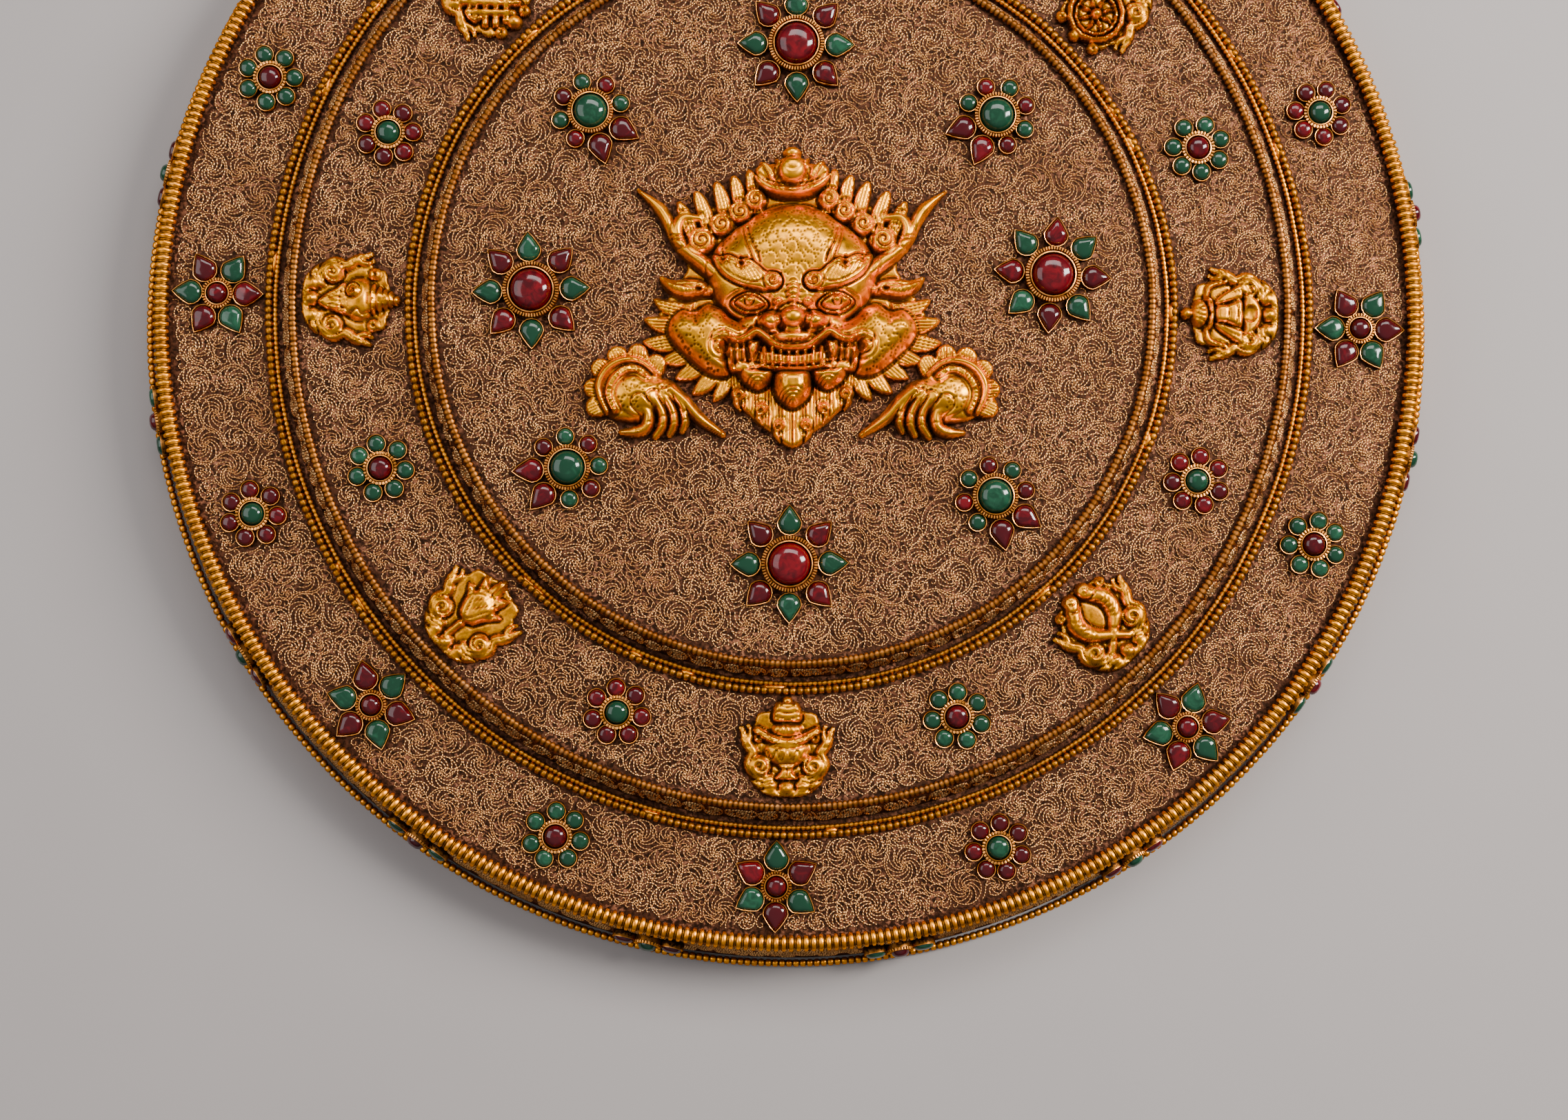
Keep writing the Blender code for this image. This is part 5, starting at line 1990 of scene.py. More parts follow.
    def skull(self) -> None:
        """Forehead, cheeks and muzzle."""
        head = [
            (0, 27.4), (5.5, 26.6), (10.4, 24.4), (16.2, 20.2), (20.8, 15.6), (23.4, 10.8), (23.2, 5.6),
            (21.6, 1.2), (18.4, -3.4), (12, -6.8), (0, -8.6),
        ]
        self.pillow(whole(head), 11.3, 13, line=0.5)
        self.dome(15.6, 15, 5.4, 7.4, 0.9, -38, over=True, line=0)
        self.dome(11.8, -1.6, 7, 4.2, -1.4, over=True, line=0)
        cheek = [
            (5, -6.6), (12, -6.2), (16.4, -4.6), (19.2, -1.8), (23, -0.5), (25.8, -2), (27.6, -2.6),
            (30.4, -2.2), (33.4, -4.6), (34.6, -8.2), (33.4, -11.4), (30.8, -14.4),
        ]
        cheek += [
            (27.6, -17.4), (24.6, -19.8), (21.4, -21.2), (17.8, -20.8), (16.8, -18.6), (16.6, -14.8),
            (12, -12.6), (6, -11),
        ]
        self.pillow(cheek, 9.8, 7, line=0.5)
        self.groove([(25.4, -1.6), (26.6, -3.8), (26.4, -6.4)], 0.6, 0.8)
        self.dome(0, -7.4, 16, 7.6, 10.4, line=0)
        self.dome(0, -10.8, 8.6, 3.8, 11.2, line=0.35)

    def brows_and_eyes(self) -> None:
        """Leaf brows that curl at the nose, and the almond eyes."""
        for line in (
            [(12.4, 19.9), (11.2, 15.5), (9.6, 12.2), (8.9, 9.7)],
            [(13.7, 19.6), (12.8, 15.6), (11.6, 12.4), (11, 10.4)],
        ):
            self.groove(line, 0.42, 0.95)
        brow = [
            (22.2, 12.9), (19.6, 11.8), (17.6, 11.9), (14.6, 10.4), (12.2, 10.4), (9.6, 8.8), (7.4, 6.9),
            (4.2, 6.4), (2.9, 4.2), (4, 2.2), (7, 1.6), (11, 2.2), (16, 4.2), (19.8, 7.4),
        ]
        self.pillow(brow, 1.5, 1.6, over=True, line=1)
        inner = [
            (20.4, 11), (17.6, 10.6), (14.4, 9.2), (11.2, 8.6), (8.8, 6.4), (8.6, 4.2), (12, 4), (16.2, 6),
            (19.2, 8.8),
        ]
        self.groove(smooth([*inner, inner[0]], 5), 0.26, 0.5, 0)
        self.hatch(inner, 58, 0.9, 0.34, 0.3)
        self.snail(5.4, 4.2, 2.5, 0.75, 60, 1, 1.5, over=True)
        for x, y in ((18.9, 10.8), (14, 8.9)):
            self.dome(x, y, 1.35, 1.35, 0.5, over=True, line=0.3)
            self.hole(x, y, 0.72, 1.9)
            self.groove([(x, y + 0.6), (x + 0.2, y + 2.2)], 0.32, 0.9)
        lids = [
            (6.6, -1.9), (8.8, 0.4), (11.7, 1.4), (14.6, 0.7), (16.8, -1), (14.4, -3.3), (11.2, -4.1),
            (8.5, -3.6),
        ]
        self.pillow(lids, 2.3, 1.1, over=True, line=0.9)
        eye = [
            (7.8, -1.9), (9.6, -0.3), (11.7, 0.5), (13.8, 0), (15.5, -1.2), (13.5, -2.7), (11.2, -3.1),
            (9.2, -2.9),
        ]
        self.pillow(eye, 1.6, 1.3, over=True, line=1.5)
        self.groove(arc(11.8, -1.2, 1.3, 0, 360), 0.28, 0.8, 0)
        self.dome(11.8, -1.2, 0.8, 0.8, 0.5, over=True, line=0)
        self.groove([(7, 0.4), (9, 1.9), (12, 2.6), (15.4, 1.8), (17.8, 0.4)], 0.24, 0.3)

    def nose(self) -> None:
        """The wrinkled bridge and the broad nose."""
        self.dome(0, 2, 4, 7.2, 12.6, line=0.15)
        self.dome(3.9, -1.2, 2.5, 2.2, 11.8, line=0.25)
        for y, half, depth in ((3.4, 1.9, 0.5), (1.8, 2.2, 0.5), (0.2, 2, 0.4)):
            self.groove([(-half, y - 0.6), (0, y), (half, y - 0.6)], 0.28, depth)
        self.dome(5.8, -6.5, 3.9, 3.1, 12.6, line=0.9, flat=2.6)
        self.dome(0, -5.6, 4.6, 3.9, 13.5, line=0.8, flat=2.6)
        self.hole(3.3, -8.3, 1.05, 2)
        self.groove([(8.2, -4.4), (9.6, -6.6), (9.2, -8.6)], 0.4, 0.6)

    def mouth(self) -> None:
        """The upper lip with its coiled corners, the teeth, the fangs and the hanging lobes."""
        mouth = [
            (0, -11.6), (10, -10), (18.6, -12.2), (18.4, -16.4), (17, -20), (9.6, -19.8), (0, -19.6),
            (-8, -19), (-8, -12),
        ]
        self.pillow(mouth, 8.4, 0.9, line=0)
        side_lobe = [
            (4.4, -18.8), (9.6, -17.8), (15.6, -17.6), (14.9, -21.4), (12.6, -23.8), (9.8, -25.1), (7, -23.8),
            (5.2, -21.6),
        ]
        self.pillow(side_lobe, 9, 3.4, line=0.6)
        for radius in (1.1, 2.2, 3.3):
            self.groove(arc(9.8, -24.2, radius, 12, 156), 0.24, 0.4, 0)
        lobe = [
            (-4.8, -18.8), (0, -18.2), (4.8, -18.8), (5.6, -23.4), (4.6, -27), (2.4, -29.2), (0, -30.2),
            (-2.4, -29.2), (-4.6, -27), (-5.6, -23.4),
        ]
        self.pillow(lobe, 10.2, 4.4, line=0.7)
        for radius in (1.2, 2.3, 3.4, 4.5):
            self.groove(arc(0, -29, radius, 14, 152), 0.24, 0.42, 0)
        for x, y in ((1.9, -21.6), (3.4, -22.6)):
            self.groove([(x, y), (x + 0.4, y - 1.6)], 0.22, 0.3)
        self.pillow([
            (-10, -14), (0, -15), (10, -14), (9.6, -18.9), (0, -19.2), (-9.6, -18.9),
        ], 9.5, 1, steps=1, line=0)
        for k in range(4):
            x = 1.15 + 2.25 * k
            self.ridge([(x, -13.8), (0.99 * x, -18.3)], (1.12, 1.05), (10.8, 10.3), line=0.25, steps=1)
        for x, top in ((13.4, -13), (15.3, -13.6), (17, -14.4)):
            self.ridge([(x, top + 0.6), (x - 0.2, top - 3.8)], (0.98, 0.7), (9.9, 9.4), line=0.2, steps=1)
        self.ridge([(9.2, -18.6), (5, -19.2), (0, -19.4), (-5, -19.2)], (0.75, 0.75), (9.7, 9.7), line=0.5)
        fang = [(8.2, -11.4), (12.6, -11.2), (13, -14), (12.2, -17.2), (11.3, -19.2), (10.2, -17), (8.8, -14)]
        self.pillow(fang, 11.4, 2, line=0.7)
        self.groove([(10.6, -12.6), (11.3, -15.4), (11.4, -18)], 0.24, 0.4)
        lip = [
            (20.9, -10.6), (18.6, -10), (15.4, -11.6), (12.6, -11), (9.9, -9.6), (7.4, -11.2), (4.4, -13.4),
            (0, -14), (-4, -13.5),
        ]
        self.ridge(
            lip, (1.2, 1.3, 1.5, 1.7, 2, 1.7, 1.5, 1.4, 1.5),
            (9.8, 10.2, 11.2, 12, 12.6, 12.3, 12.3, 12.5, 12.4), line=0.6,
        )
        self.groove([
            (17.4, -11.2), (15.2, -12.2), (12.4, -11.6), (9.9, -10.3), (7.6, -11.9), (4.4, -14), (0, -14.6),
            (-4, -14.1),
        ], 0.22, 0.4)
        self.dome(20, -13.2, 3.1, 3.3, 10, line=0.5)
        self.groove(arc(19.9, -13.1, 2.1, 200, -300, 0.9), 0.24, 0.45, 0)
        self.hole(18.9, -13.2, 1.15, 2.6)
        self.groove([(18.4, -14.2), (17.4, -16.6), (17.2, -19.4)], 0.34, 0.8)

    def punch(self) -> None:
        """Dots around the scales of the forehead, cheeks and upper lip, placed freely on both sides."""
        self.reflect()
        rng = np.random.default_rng(21)
        brow = [(8.2, 9.8), (11.6, 13), (13, 17), (12, 21.4), (6, 25.8), (0, 26.9)]
        self.scales([*brow, *sided(-1, brow[-2::-1]), (-3, 5.2), (0, 5.6), (3, 5.2)], rng)
        for way in (1, -1):
            temple = [(14.6, 13), (19, 13.4), (22, 12.6), (20.2, 16.4), (15.2, 20.6)]
            cheek = [
                (8.6, -6.2), (14, -6.6), (19.4, -3.2), (23.6, -1.6), (30, -3.2), (33.6, -6.8), (32, -11.2),
                (27.4, -17), (22.4, -20.4), (19.2, -19.8), (21.6, -16.2), (24, -12.6), (21, -9.2), (12, -9.2),
            ]
            lip = [(-7.2, -10.4), (0, -10.6), (7.2, -10.4), (5.2, -12.2), (0, -12.9), (-5.2, -12.2)]
            for outline in (temple, cheek):
                self.scales(sided(way, outline), rng)
            if way > 0:
                self.scales(lip, rng, 2.2)

    def build(self, finish: Finish) -> Array:
        """Make the mask.

        Args:
            finish: its material.

        Returns:
            Points all over its footprint.
        """
        for work in (self.ground, self.beard_curls, self.feathers, self.ears_and_horns, self.skull):
            work()
        for work in (self.curls_and_crown, self.brows_and_eyes, self.nose, self.mouth, self.punch):
            work()
        shell = Shell()
        spots = self.cast(shell, MASK_PLACE, 0.8, 0.25)
        shell.piece("chased_mask", finish, "gilt_relief", ["cheppu_mask"], sharp=50)
        return spots


class Hand(Relief):
    """A hand beside the beard, its forefinger pointing down to it."""

    CELL = 0.32

    def __init__(self) -> None:
        """Lay out its grid."""
        super().__init__((17, -39.5), (58.5, -11), self.CELL)

    def carve(self) -> None:
        """Work the right-hand one."""
        for x, y, turn in (
            (54.8, -29.6, -26), (55.4, -24.2, -2), (53.4, -18.4, 30), (48.6, -14.6, 62), (42.6, -13.9, 92),
            (37.2, -16.8, 122),
        ):
            way = radians(turn)
            root = (x - 4.6 * cos(way), y - 4.6 * sin(way))
            self.leaf(root, (x + 2.2 * cos(way), y + 2.2 * sin(way)), 3.2, 3.4, 0, 0.9, 0.8, Tip.ROUND, 0.8)
        cuff = [
            (51, -30.6), (53, -26), (53, -22.6), (51.1, -19.2), (48, -17.1), (44.2, -16.5), (40.8, -17.5),
            (37.6, -20.4),
        ]
        self.dome(45, -24.6, 10, 9, 4.6, 10, line=0, flat=6)
        self.dome(43.4, -26, 9.4, 7.6, 6.4, 8, line=0)
        self.ridge(cuff, (1.1, 1.5, 1.5, 1), (5, 5.8, 5.8, 4.8), line=0.3)
        band = [(48.8, -30.4), (50.4, -26.1), (49.4, -22.4), (46.5, -19.5), (43.2, -19), (40.2, -20.8)]
        self.ridge(band, (1.3, 1.5, 1.3), (6, 6.7, 6), line=0.4)
        for share in np.linspace(0.06, 0.94, 17):
            x, y = smooth(band, 12)[int(share * 60)]
            self.hole(x, y, 0.5, 0.7)
        self.dome(41.4, -26.2, 7.6, 6, 6.8, 8, line=0.2)
        self.dome(35.4, -25.8, 5.6, 4.4, 6.2, 20, line=0)
        fingers = (
            (
                [(42.2, -28.4), (39.7, -31.4), (40.4, -35), (43.4, -36.2), (47, -36.3)],
                (2.2, 2, 1.8, 1.7, 0.9), (5.8, 5.2, 4.8, 4.6, 2.8),
            ),
            (
                [(38, -26.8), (35.7, -31), (35.8, -34.6), (37.8, -37.4)], (1.8, 1.7, 1.6, 1),
                (6, 5.4, 4.8, 2.8),
            ),
            ([(35.2, -26), (33, -30.4), (32.6, -34), (33.9, -36.8)], (1.7, 1.6, 1.5, 1), (6, 5.4, 4.8, 2.8)),
            (
                [(32.4, -25.6), (30.2, -29.6), (29.5, -33.2), (30.5, -35.9)], (1.6, 1.5, 1.4, 0.9),
                (5.8, 5.2, 4.6, 2.8),
            ),
            (
                [(33.6, -24.6), (30, -27.6), (25.6, -32.4), (19.2, -36.9)], (2, 1.9, 1.8, 0.9),
                (6.2, 5.6, 5, 2.8),
            ),
        )
        for path, widths, rises in fingers:
            self.ridge(path, widths, rises, line=0.6)
        for path, _, _ in fingers[:4]:
            spine = smooth(path, 6)
            for share in (0.45, 0.72):
                x, y = spine[int(share * (len(spine) - 1))]
                self.groove([(x - 1.1, y + 0.3), (x + 1.1, y - 0.1)], 0.22, 0.28)
        self.groove([(22.6, -33.6), (20.6, -34.4), (19.4, -36.2)], 0.24, 0.5)
        self.groove([(23.4, -34.9), (21.6, -36), (19.8, -37)], 0.24, 0.4)
        self.scales([
            (34.4, -21.6), (40, -21.4), (46.4, -21.6), (48.4, -26), (46.6, -30.2), (42.6, -30.6),
            (38.6, -25.8), (33.6, -24.8),
        ], np.random.default_rng(23), 3.4)


class Hands:
    """The two hands."""

    def build(self, finish: Finish) -> Array:
        """Make both hands.

        Args:
            finish: their material.

        Returns:
            Points all over their footprint.
        """
        spots = []
        for node, left in (("right_hand", False), ("left_hand", True)):
            hand = Hand()
            hand.carve()
            if left:
                hand.flip()
            shell = Shell()
            spots.append(hand.cast(shell, MASK_PLACE))
            shell.piece(f"chased_{node}", finish, "gilt_relief", [node], sharp=50)
        return np.vstack(spots)


class Symbol(Relief):
    """One of the eight auspicious symbols, on its lotus seat with ribbons."""

    # The grid's corners and spacing, before the symbol is scaled to its place
    LOW, HIGH, CELL = (-15.2, -15.4), (15.2, 16), 0.39

    def __init__(self) -> None:
        """Lay out its grid, with the plate, ribbons and seat that each of them has."""
        super().__init__(self.LOW, self.HIGH, self.CELL)
        self.plate()
        self.ribbons()
        self.seat()

    def seat(self) -> None:
        """The lotus seat, at the outer end."""
        for way in (1, -1):
            self.leaf((way * 6.2, -11.2), (way * 10.4, -9.4), 1.9, 2.8, 0, 0.9)
            self.dome(way * 4.7, -11, 2.7, 2.4, 3.2, way * 20, line=0.4)
            self.groove(arc(way * 4.7, -11.2, 1.5, 20, 140), 0.24, 0.35, 0)
        self.pillow([
            (-7.6, -12), (0, -11.6), (7.6, -12), (5.4, -13.8), (0, -14.4), (-5.4, -13.8),
        ], 2.6, 1, line=0.3)
        self.dome(0, -11.4, 2.5, 2.5, 3.6, line=0.5)
        self.groove(arc(0, -11.6, 1.4, 10, 160), 0.24, 0.35, 0)
        self.hatch([(-6, -12.4), (6, -12.4), (4, -14.2), (-4, -14.2)], 90, 0.9, 0.22, 0.1, 0)

    def plate(self) -> None:
        """The sheet that all of it is raised from."""
        half = [
            (0, 12.4), (4, 11), (8.4, 10), (9.6, 6.6), (12, 4.6), (12.2, 0.4), (11.2, -4), (10.8, -8.8),
            (7.6, -12.6), (0, -14),
        ]
        self.pillow(whole(half), 1.5, 0.7, line=0)

    def ribbons(self) -> None:
        """The fluttering ribbons at both sides."""
        for way in (1, -1):
            path = sided(way, [(4.6, -8.6), (7.4, -8.4), (10.6, -5), (9.8, -1.4), (11.6, 1.6), (13.2, 5.8)])
            self.ridge(path, (1.6, 2, 2, 1.8, 1.8, 0.7), (2.8, 3.2, 3.4, 3, 3, 2), line=0.4)
            self.groove(path, 0.24, 0.4)
            self.ridge(sided(way, [(11.2, 1.8), (10.4, 4.4), (11.2, 6.6)]), (1.2, 1.1, 0.4), (2.4, 2.4, 1.6))
            self.snail(way * 7.6, -5, 3.2, 3.8, 90, way, 1.2)
            self.hole(way * 8, -5.4, 0.6, 1.2)

    def loops(self, radius: float, *spots: Point) -> None:
        """Raise ribbon loops, each round a small hole.

        Args:
            radius: their radius.
            spots: their middles.
        """
        for x, y in spots:
            self.dome(x, y, radius, radius, 3, line=0.3)
            self.groove(arc(x, y, 0.62 * radius, 0, 330, 0.9), 0.24, 0.35, 0)
            self.hole(x, y, 0.6, 1.4)

    def victory_banner(self) -> None:
        """A banner of flared skirts under a domed cap."""
        self.dome(0, 12.9, 1.9, 2.1, 3.2)
        self.dome(0, 9, 4.5, 2.9, 4.2, line=0.4)
        for x in (-2.6, -0.9, 0.9, 2.6):
            self.groove([(x, 7.6), (0.5 * x, 10.8)], 0.24, 0.4)
        self.pillow([(-4.8, 7.6), (0, 6.6), (4.8, 7.6), (4.2, 5.6), (0, 4.8), (-4.2, 5.6)], 4, 1, line=0.4)
        self.hatch([(-4.4, 7.2), (4.4, 7.2), (4, 5.4), (-4, 5.4)], 90, 0.9, 0.3, 0.1, 0)
        for way in (1, -1):
            self.pillow(
                sided(way, [(2.2, 4.8), (4.4, 4.4), (7, 1), (9, -2.8), (4.4, -3.6), (3, 0.6)]), 3.4, 1.5,
                line=0.4,
            )
            self.groove(sided(way, [(3.6, 3.6), (5.6, 0.6), (6.8, -2.4)]), 0.26, 0.4)
        self.pillow([
            (-2.2, 4.8), (2.2, 4.8), (3.2, 1), (4.4, -3), (0, -3.8), (-4.4, -3), (-3.2, 1),
        ], 4.1, 1.6, line=0.5)
        for y in (1.6, -1.2):
            self.groove([(-3, y), (0, y - 0.6), (3, y)], 0.26, 0.5)
        self.pillow([
            (-6.4, -4.2), (0, -3.4), (6.4, -4.2), (4.6, -7.8), (0, -9.4), (-4.6, -7.8),
        ], 3.4, 1.8, line=0.4)
        self.dome(0, -5.6, 2.6, 1.9, -1.4, over=True, line=0)
        for way in (1, -1):
            self.ridge(sided(way, [(4.4, 7.4), (8, 6.4), (9.6, 1.6)]), (0.9, 1.1, 0.8), (2.6, 2.8, 2.4))

    def golden_fishes(self) -> None:
        """Two fishes side by side with crossing tails."""
        self.dome(0, 3, 5.6, 8, 1.6, line=0)
        for way, high in ((1, 4.1), (-1, 4.3)):
            self.ridge(
                sided(way, [(2.6, 9.6), (5.8, 4.4), (4.6, -0.8), (0.6, -4.4), (-3.4, -8.2)]),
                (2.4, 3, 2.6, 1.8, 1.4), (high, high, 3.9, 3.5, 2.6), line=0.5,
            )
            self.dome(way * 2.5, 10.2, 2.7, 2.6, high, line=0.3)
            self.groove(arc(way * 2.6, 10.4, 0.9, 0, 360), 0.22, 0.5, 0)
            self.groove(sided(way, [(0.6, 8.4), (2.6, 7.4), (4.8, 8)]), 0.26, 0.5)
            for y in (5.6, 4, 2.4, 0.8, -0.8):
                self.groove(arc(way * (5.0 - 0.05 * y), y + 0.9, 1.7, 200, 140), 0.22, 0.32, 0)
        self.loops(1.7, (7.9, 8.8), (-7.9, 8.8))

    def treasure_vase(self) -> None:
        """A round vase with a draped collar, a jewelled lid and a foot."""
        self.pillow([
            (-2.6, -4.4), (2.6, -4.4), (1.9, -6.4), (3.4, -9), (-3.4, -9), (-1.9, -6.4),
        ], 3.4, 1.2, line=0.3)
        self.hatch([(-1.9, -4.6), (1.9, -4.6), (2.4, -8.6), (-2.4, -8.6)], 90, 0.9, 0.3, 0.1, 0)
        self.dome(0, -0.6, 6.8, 5.2, 4.4, line=0.4)
        for x in (-4.4, -1.6, 1.6, 4.4):
            self.groove([(x - 1.3, -0.6), (x, -3.6 + 0.12 * abs(x)), (x + 1.3, -0.6)], 0.24, 0.42)
        drape = [(-8.6, 5), (-4.4, 2.8), (0, 1.9), (4.4, 2.8), (8.6, 5)]
        self.ridge(drape, (1.4, 1.6, 1.7, 1.6, 1.4), (3.6, 4.4, 4.6, 4.4, 3.6), line=0.5)
        self.groove(drape, 0.26, 0.45)
        self.dome(0, 5.4, 4.9, 2.6, 4.2, line=0.4)
        for x in (-3, -1, 1, 3):
            self.groove([(x, 4.4), (0.7 * x, 7)], 0.24, 0.4)
        self.pillow([(-4.3, 8), (0, 7.4), (4.3, 8), (3.5, 13), (0, 13.8), (-3.5, 13)], 4, 1.4, line=0.5)
        for y in (8.9, 10.6, 12.3):
            self.groove([(-3.6, y + 0.3), (0, y - 0.3), (3.6, y + 0.3)], 0.24, 0.42)
        self.dome(0, 14, 1.5, 1.1, 3)
        self.loops(1.8, (8.2, 3.2), (-8.2, 3.2))

    def lotus_blossom(self) -> None:
        """A lotus bud between overlapping petals."""
        self.ridge([(-0.6, -3.4), (-1.2, -9.4)], (1.4, 1.3), (3.2, 2.8), steps=2)
        for start, end, half, bend in (
            ((-1.4, -2.2), (-7.6, 5.6), 2.5, -0.16),
            ((0.8, -2.2), (7, 4.6), 2.5, 0.16),
            ((-1.2, 0), (-5.2, 10.4), 2.5, -0.10),
            ((1.2, 0), (4.8, 9.8), 2.5, 0.10),
            ((0, 2), (0, 13.6), 2.6, 0),
        ):
            self.leaf(start, end, half, 3.6, bend, 0.8, 0.9, Tip.SOFT)
        self.pillow([
            (-5.4, 4), (-1, 7.6), (4.4, 4), (2.6, -2.2), (-0.6, -3.8), (-4, -2.2),
        ], 4.4, 2.4, line=0.5)
        self.groove([(-3.4, 3.6), (-0.6, -2.4), (2.8, 3.4)], 0.26, 0.5)
        self.hatch([(-3.6, 4.6), (0, 6.6), (3.2, 4.2), (0, -1.6)], 96, 0.9, 0.3, 0.2, 0)

    def conch_shell(self) -> None:
        """A conch standing on its tip, its whorls to the centre."""
        self.pillow([
            (-4.6, -1), (4.6, 0.6), (4, -4.4), (1.8, -9.4), (-0.4, -8.8), (-3, -5),
        ], 3.7, 1.8, line=0.3)
        for x in (-2.2, -0.6, 1, 2.6):
            self.groove([(x, -1.8), (0.4 * x + 0.6, -7.6)], 0.24, 0.42)
        self.dome(0, 2.6, 6.5, 5.2, 4.5, line=0.5)
        for y, half, rise in ((6.8, 4.9, 4.3), (8.6, 4.1, 4.2), (10.2, 3.3, 4), (11.7, 2.5, 3.7)):
            self.dome(0, y, half, 1.35, rise, line=0.5)
            self.hatch([
                (-half, y - 0.8), (half, y - 0.8), (half, y + 0.8), (-half, y + 0.8),
            ], 90, 0.9, 0.25, 0.1, 0)
        self.dome(0.3, 13.4, 1.5, 1.3, 3.4)
        self.snail(-2.5, 0.9, 2.1, 0.8, 20, 1, 1.5, over=True)
        self.groove([(3.6, 6.2), (4.6, 3.6), (3, 2.2), (4.4, 0.2), (2.8, -1.6), (3.4, -3.6)], 0.3, 0.6)
        self.loops(2, (-7.4, 7), (7.6, 6.8))

    def endless_knot(self) -> None:
        """A knot of woven bands, set on a corner."""
        slant = 2**-0.5
        for shift in (-4.6, -1.55, 1.55, 4.6):
            for lean, high in ((1, 3.5), (-1, 3.7)):
                x, y = -lean * slant * shift, slant * shift + 1.8
                reach = (8.6 - 0.42 * abs(shift)) * slant
                ends = [(x - reach, y - lean * reach), (x + reach, y + lean * reach)]
                self.ridge(ends, (1.25, 1.25), (high, high), line=0.45, steps=1)
                self.groove(ends, 0.24, 0.35, 1)
        for way in (1, -1):
            self.ridge(arc(way * 6.4, 1.8, 2.2, 90, way * -180), (0.9, 0.9), (3.2, 3.2), steps=0)
        self.ridge([(0, -4.6), (0, -9)], (1.4, 1.4), (3, 3), steps=1)
        self.dome(0, 11.6, 2.4, 2.4, 3.4, line=0.4)
        self.loops(1.9, (-4.4, 11.2), (5, 11.2))

    def wheel(self) -> None:
        """A wheel with flame spokes."""
        self.dome(0, 3.6, 8.8, 8.8, 2, line=0.3)
        self.ridge(arc(0, 3.6, 7.9, 0, 360), (0.95, 0.95), (3.7, 3.7), steps=0, line=0.4)
        self.ridge(arc(0, 3.6, 6.1, 0, 360), (0.6, 0.6), (3, 3), steps=0, line=0.35)
        for k in range(8):
            way = pi * k / 4 + 0.2
            root, tip = (1.6 * cos(way), 3.6 + 1.6 * sin(way)), (6.0 * cos(way), 3.6 + 6.0 * sin(way))
            self.pillow(leaf(root, tip, 0.95, 0.10, 0.4), 3.5, 0.9, steps=0, line=0.35)
        self.dome(0, 3.6, 1.9, 1.9, 4.4, line=0.5)
        self.dome(0, 12.6, 2, 1.8, 3)
        self.loops(1.8, (-6.6, 11.4), (6.6, 11.2))

    def parasol(self) -> None:
        """A domed parasol over its pleated valance."""
        self.ridge([(0, 0), (0, -9.6)], (1.2, 1.2), (3.4, 3.2), steps=1)
        self.pillow([
            (-8.6, 3.6), (0, 2.6), (8.6, 3.6), (6.8, -3.4), (0, -4.4), (-6.8, -3.4),
        ], 3.2, 1.4, line=0.4)
        self.hatch([(-7.8, 3.2), (7.8, 3.2), (6.4, -3.2), (-6.4, -3.2)], 90, 1.5, 0.4, 0.2, 0)
        self.dome(0, 5.2, 9, 5.2, 4.3, line=0.5)
        for x in (-5.4, -2.7, 0, 2.7, 5.4):
            self.groove([(1.25 * x, 2.6), (x, 6), (0.3 * x, 9.4)], 0.26, 0.45)
        self.groove([(-8.2, 4), (0, 2.9), (8.2, 4)], 0.26, 0.5)
        self.dome(0, 11.6, 2.1, 2.2, 3.3, line=0.4)
        self.dome(0, 14, 1.3, 1.1, 2.8)


class Symbols:
    """The eight symbols around the middle ledge."""

    SIZE = 0.955
    FORMS = (
        ("victory_banner", Symbol.victory_banner),
        ("wheel", Symbol.wheel),
        ("parasol", Symbol.parasol),
        ("endless_knot", Symbol.endless_knot),
        ("conch_shell", Symbol.conch_shell),
        ("lotus_blossom", Symbol.lotus_blossom),
        ("treasure_vase", Symbol.treasure_vase),
        ("golden_fishes", Symbol.golden_fishes),
    )

    def build(self, finish: Finish) -> Array:
        """Make all eight.

        Args:
            finish: their material.

        Returns:
            Points all over their footprint.
        """
        spots = []
        for i, (node, form) in enumerate(self.FORMS):
            symbol = Symbol()
            form(symbol)
            angle = radians(MIDDLE_TURN) + 2 * pi * i / 8
            spot = (MIDDLE_RING * cos(angle), MIDDLE_RING * sin(angle), MIDDLE_LEVEL + SYMBOL_LIFT)
            upright = Matrix.Rotation(angle + pi / 2, 4, "Z")
            place = Matrix.Translation(spot) @ upright @ Matrix.Scale(self.SIZE, 4)
            shell = Shell()
            spots.append(symbol.cast(shell, place, 0.6))
            shell.piece(f"chased_{node}", finish, "gilt_relief", [node], sharp=50)
        return np.vstack(spots)


# Studio


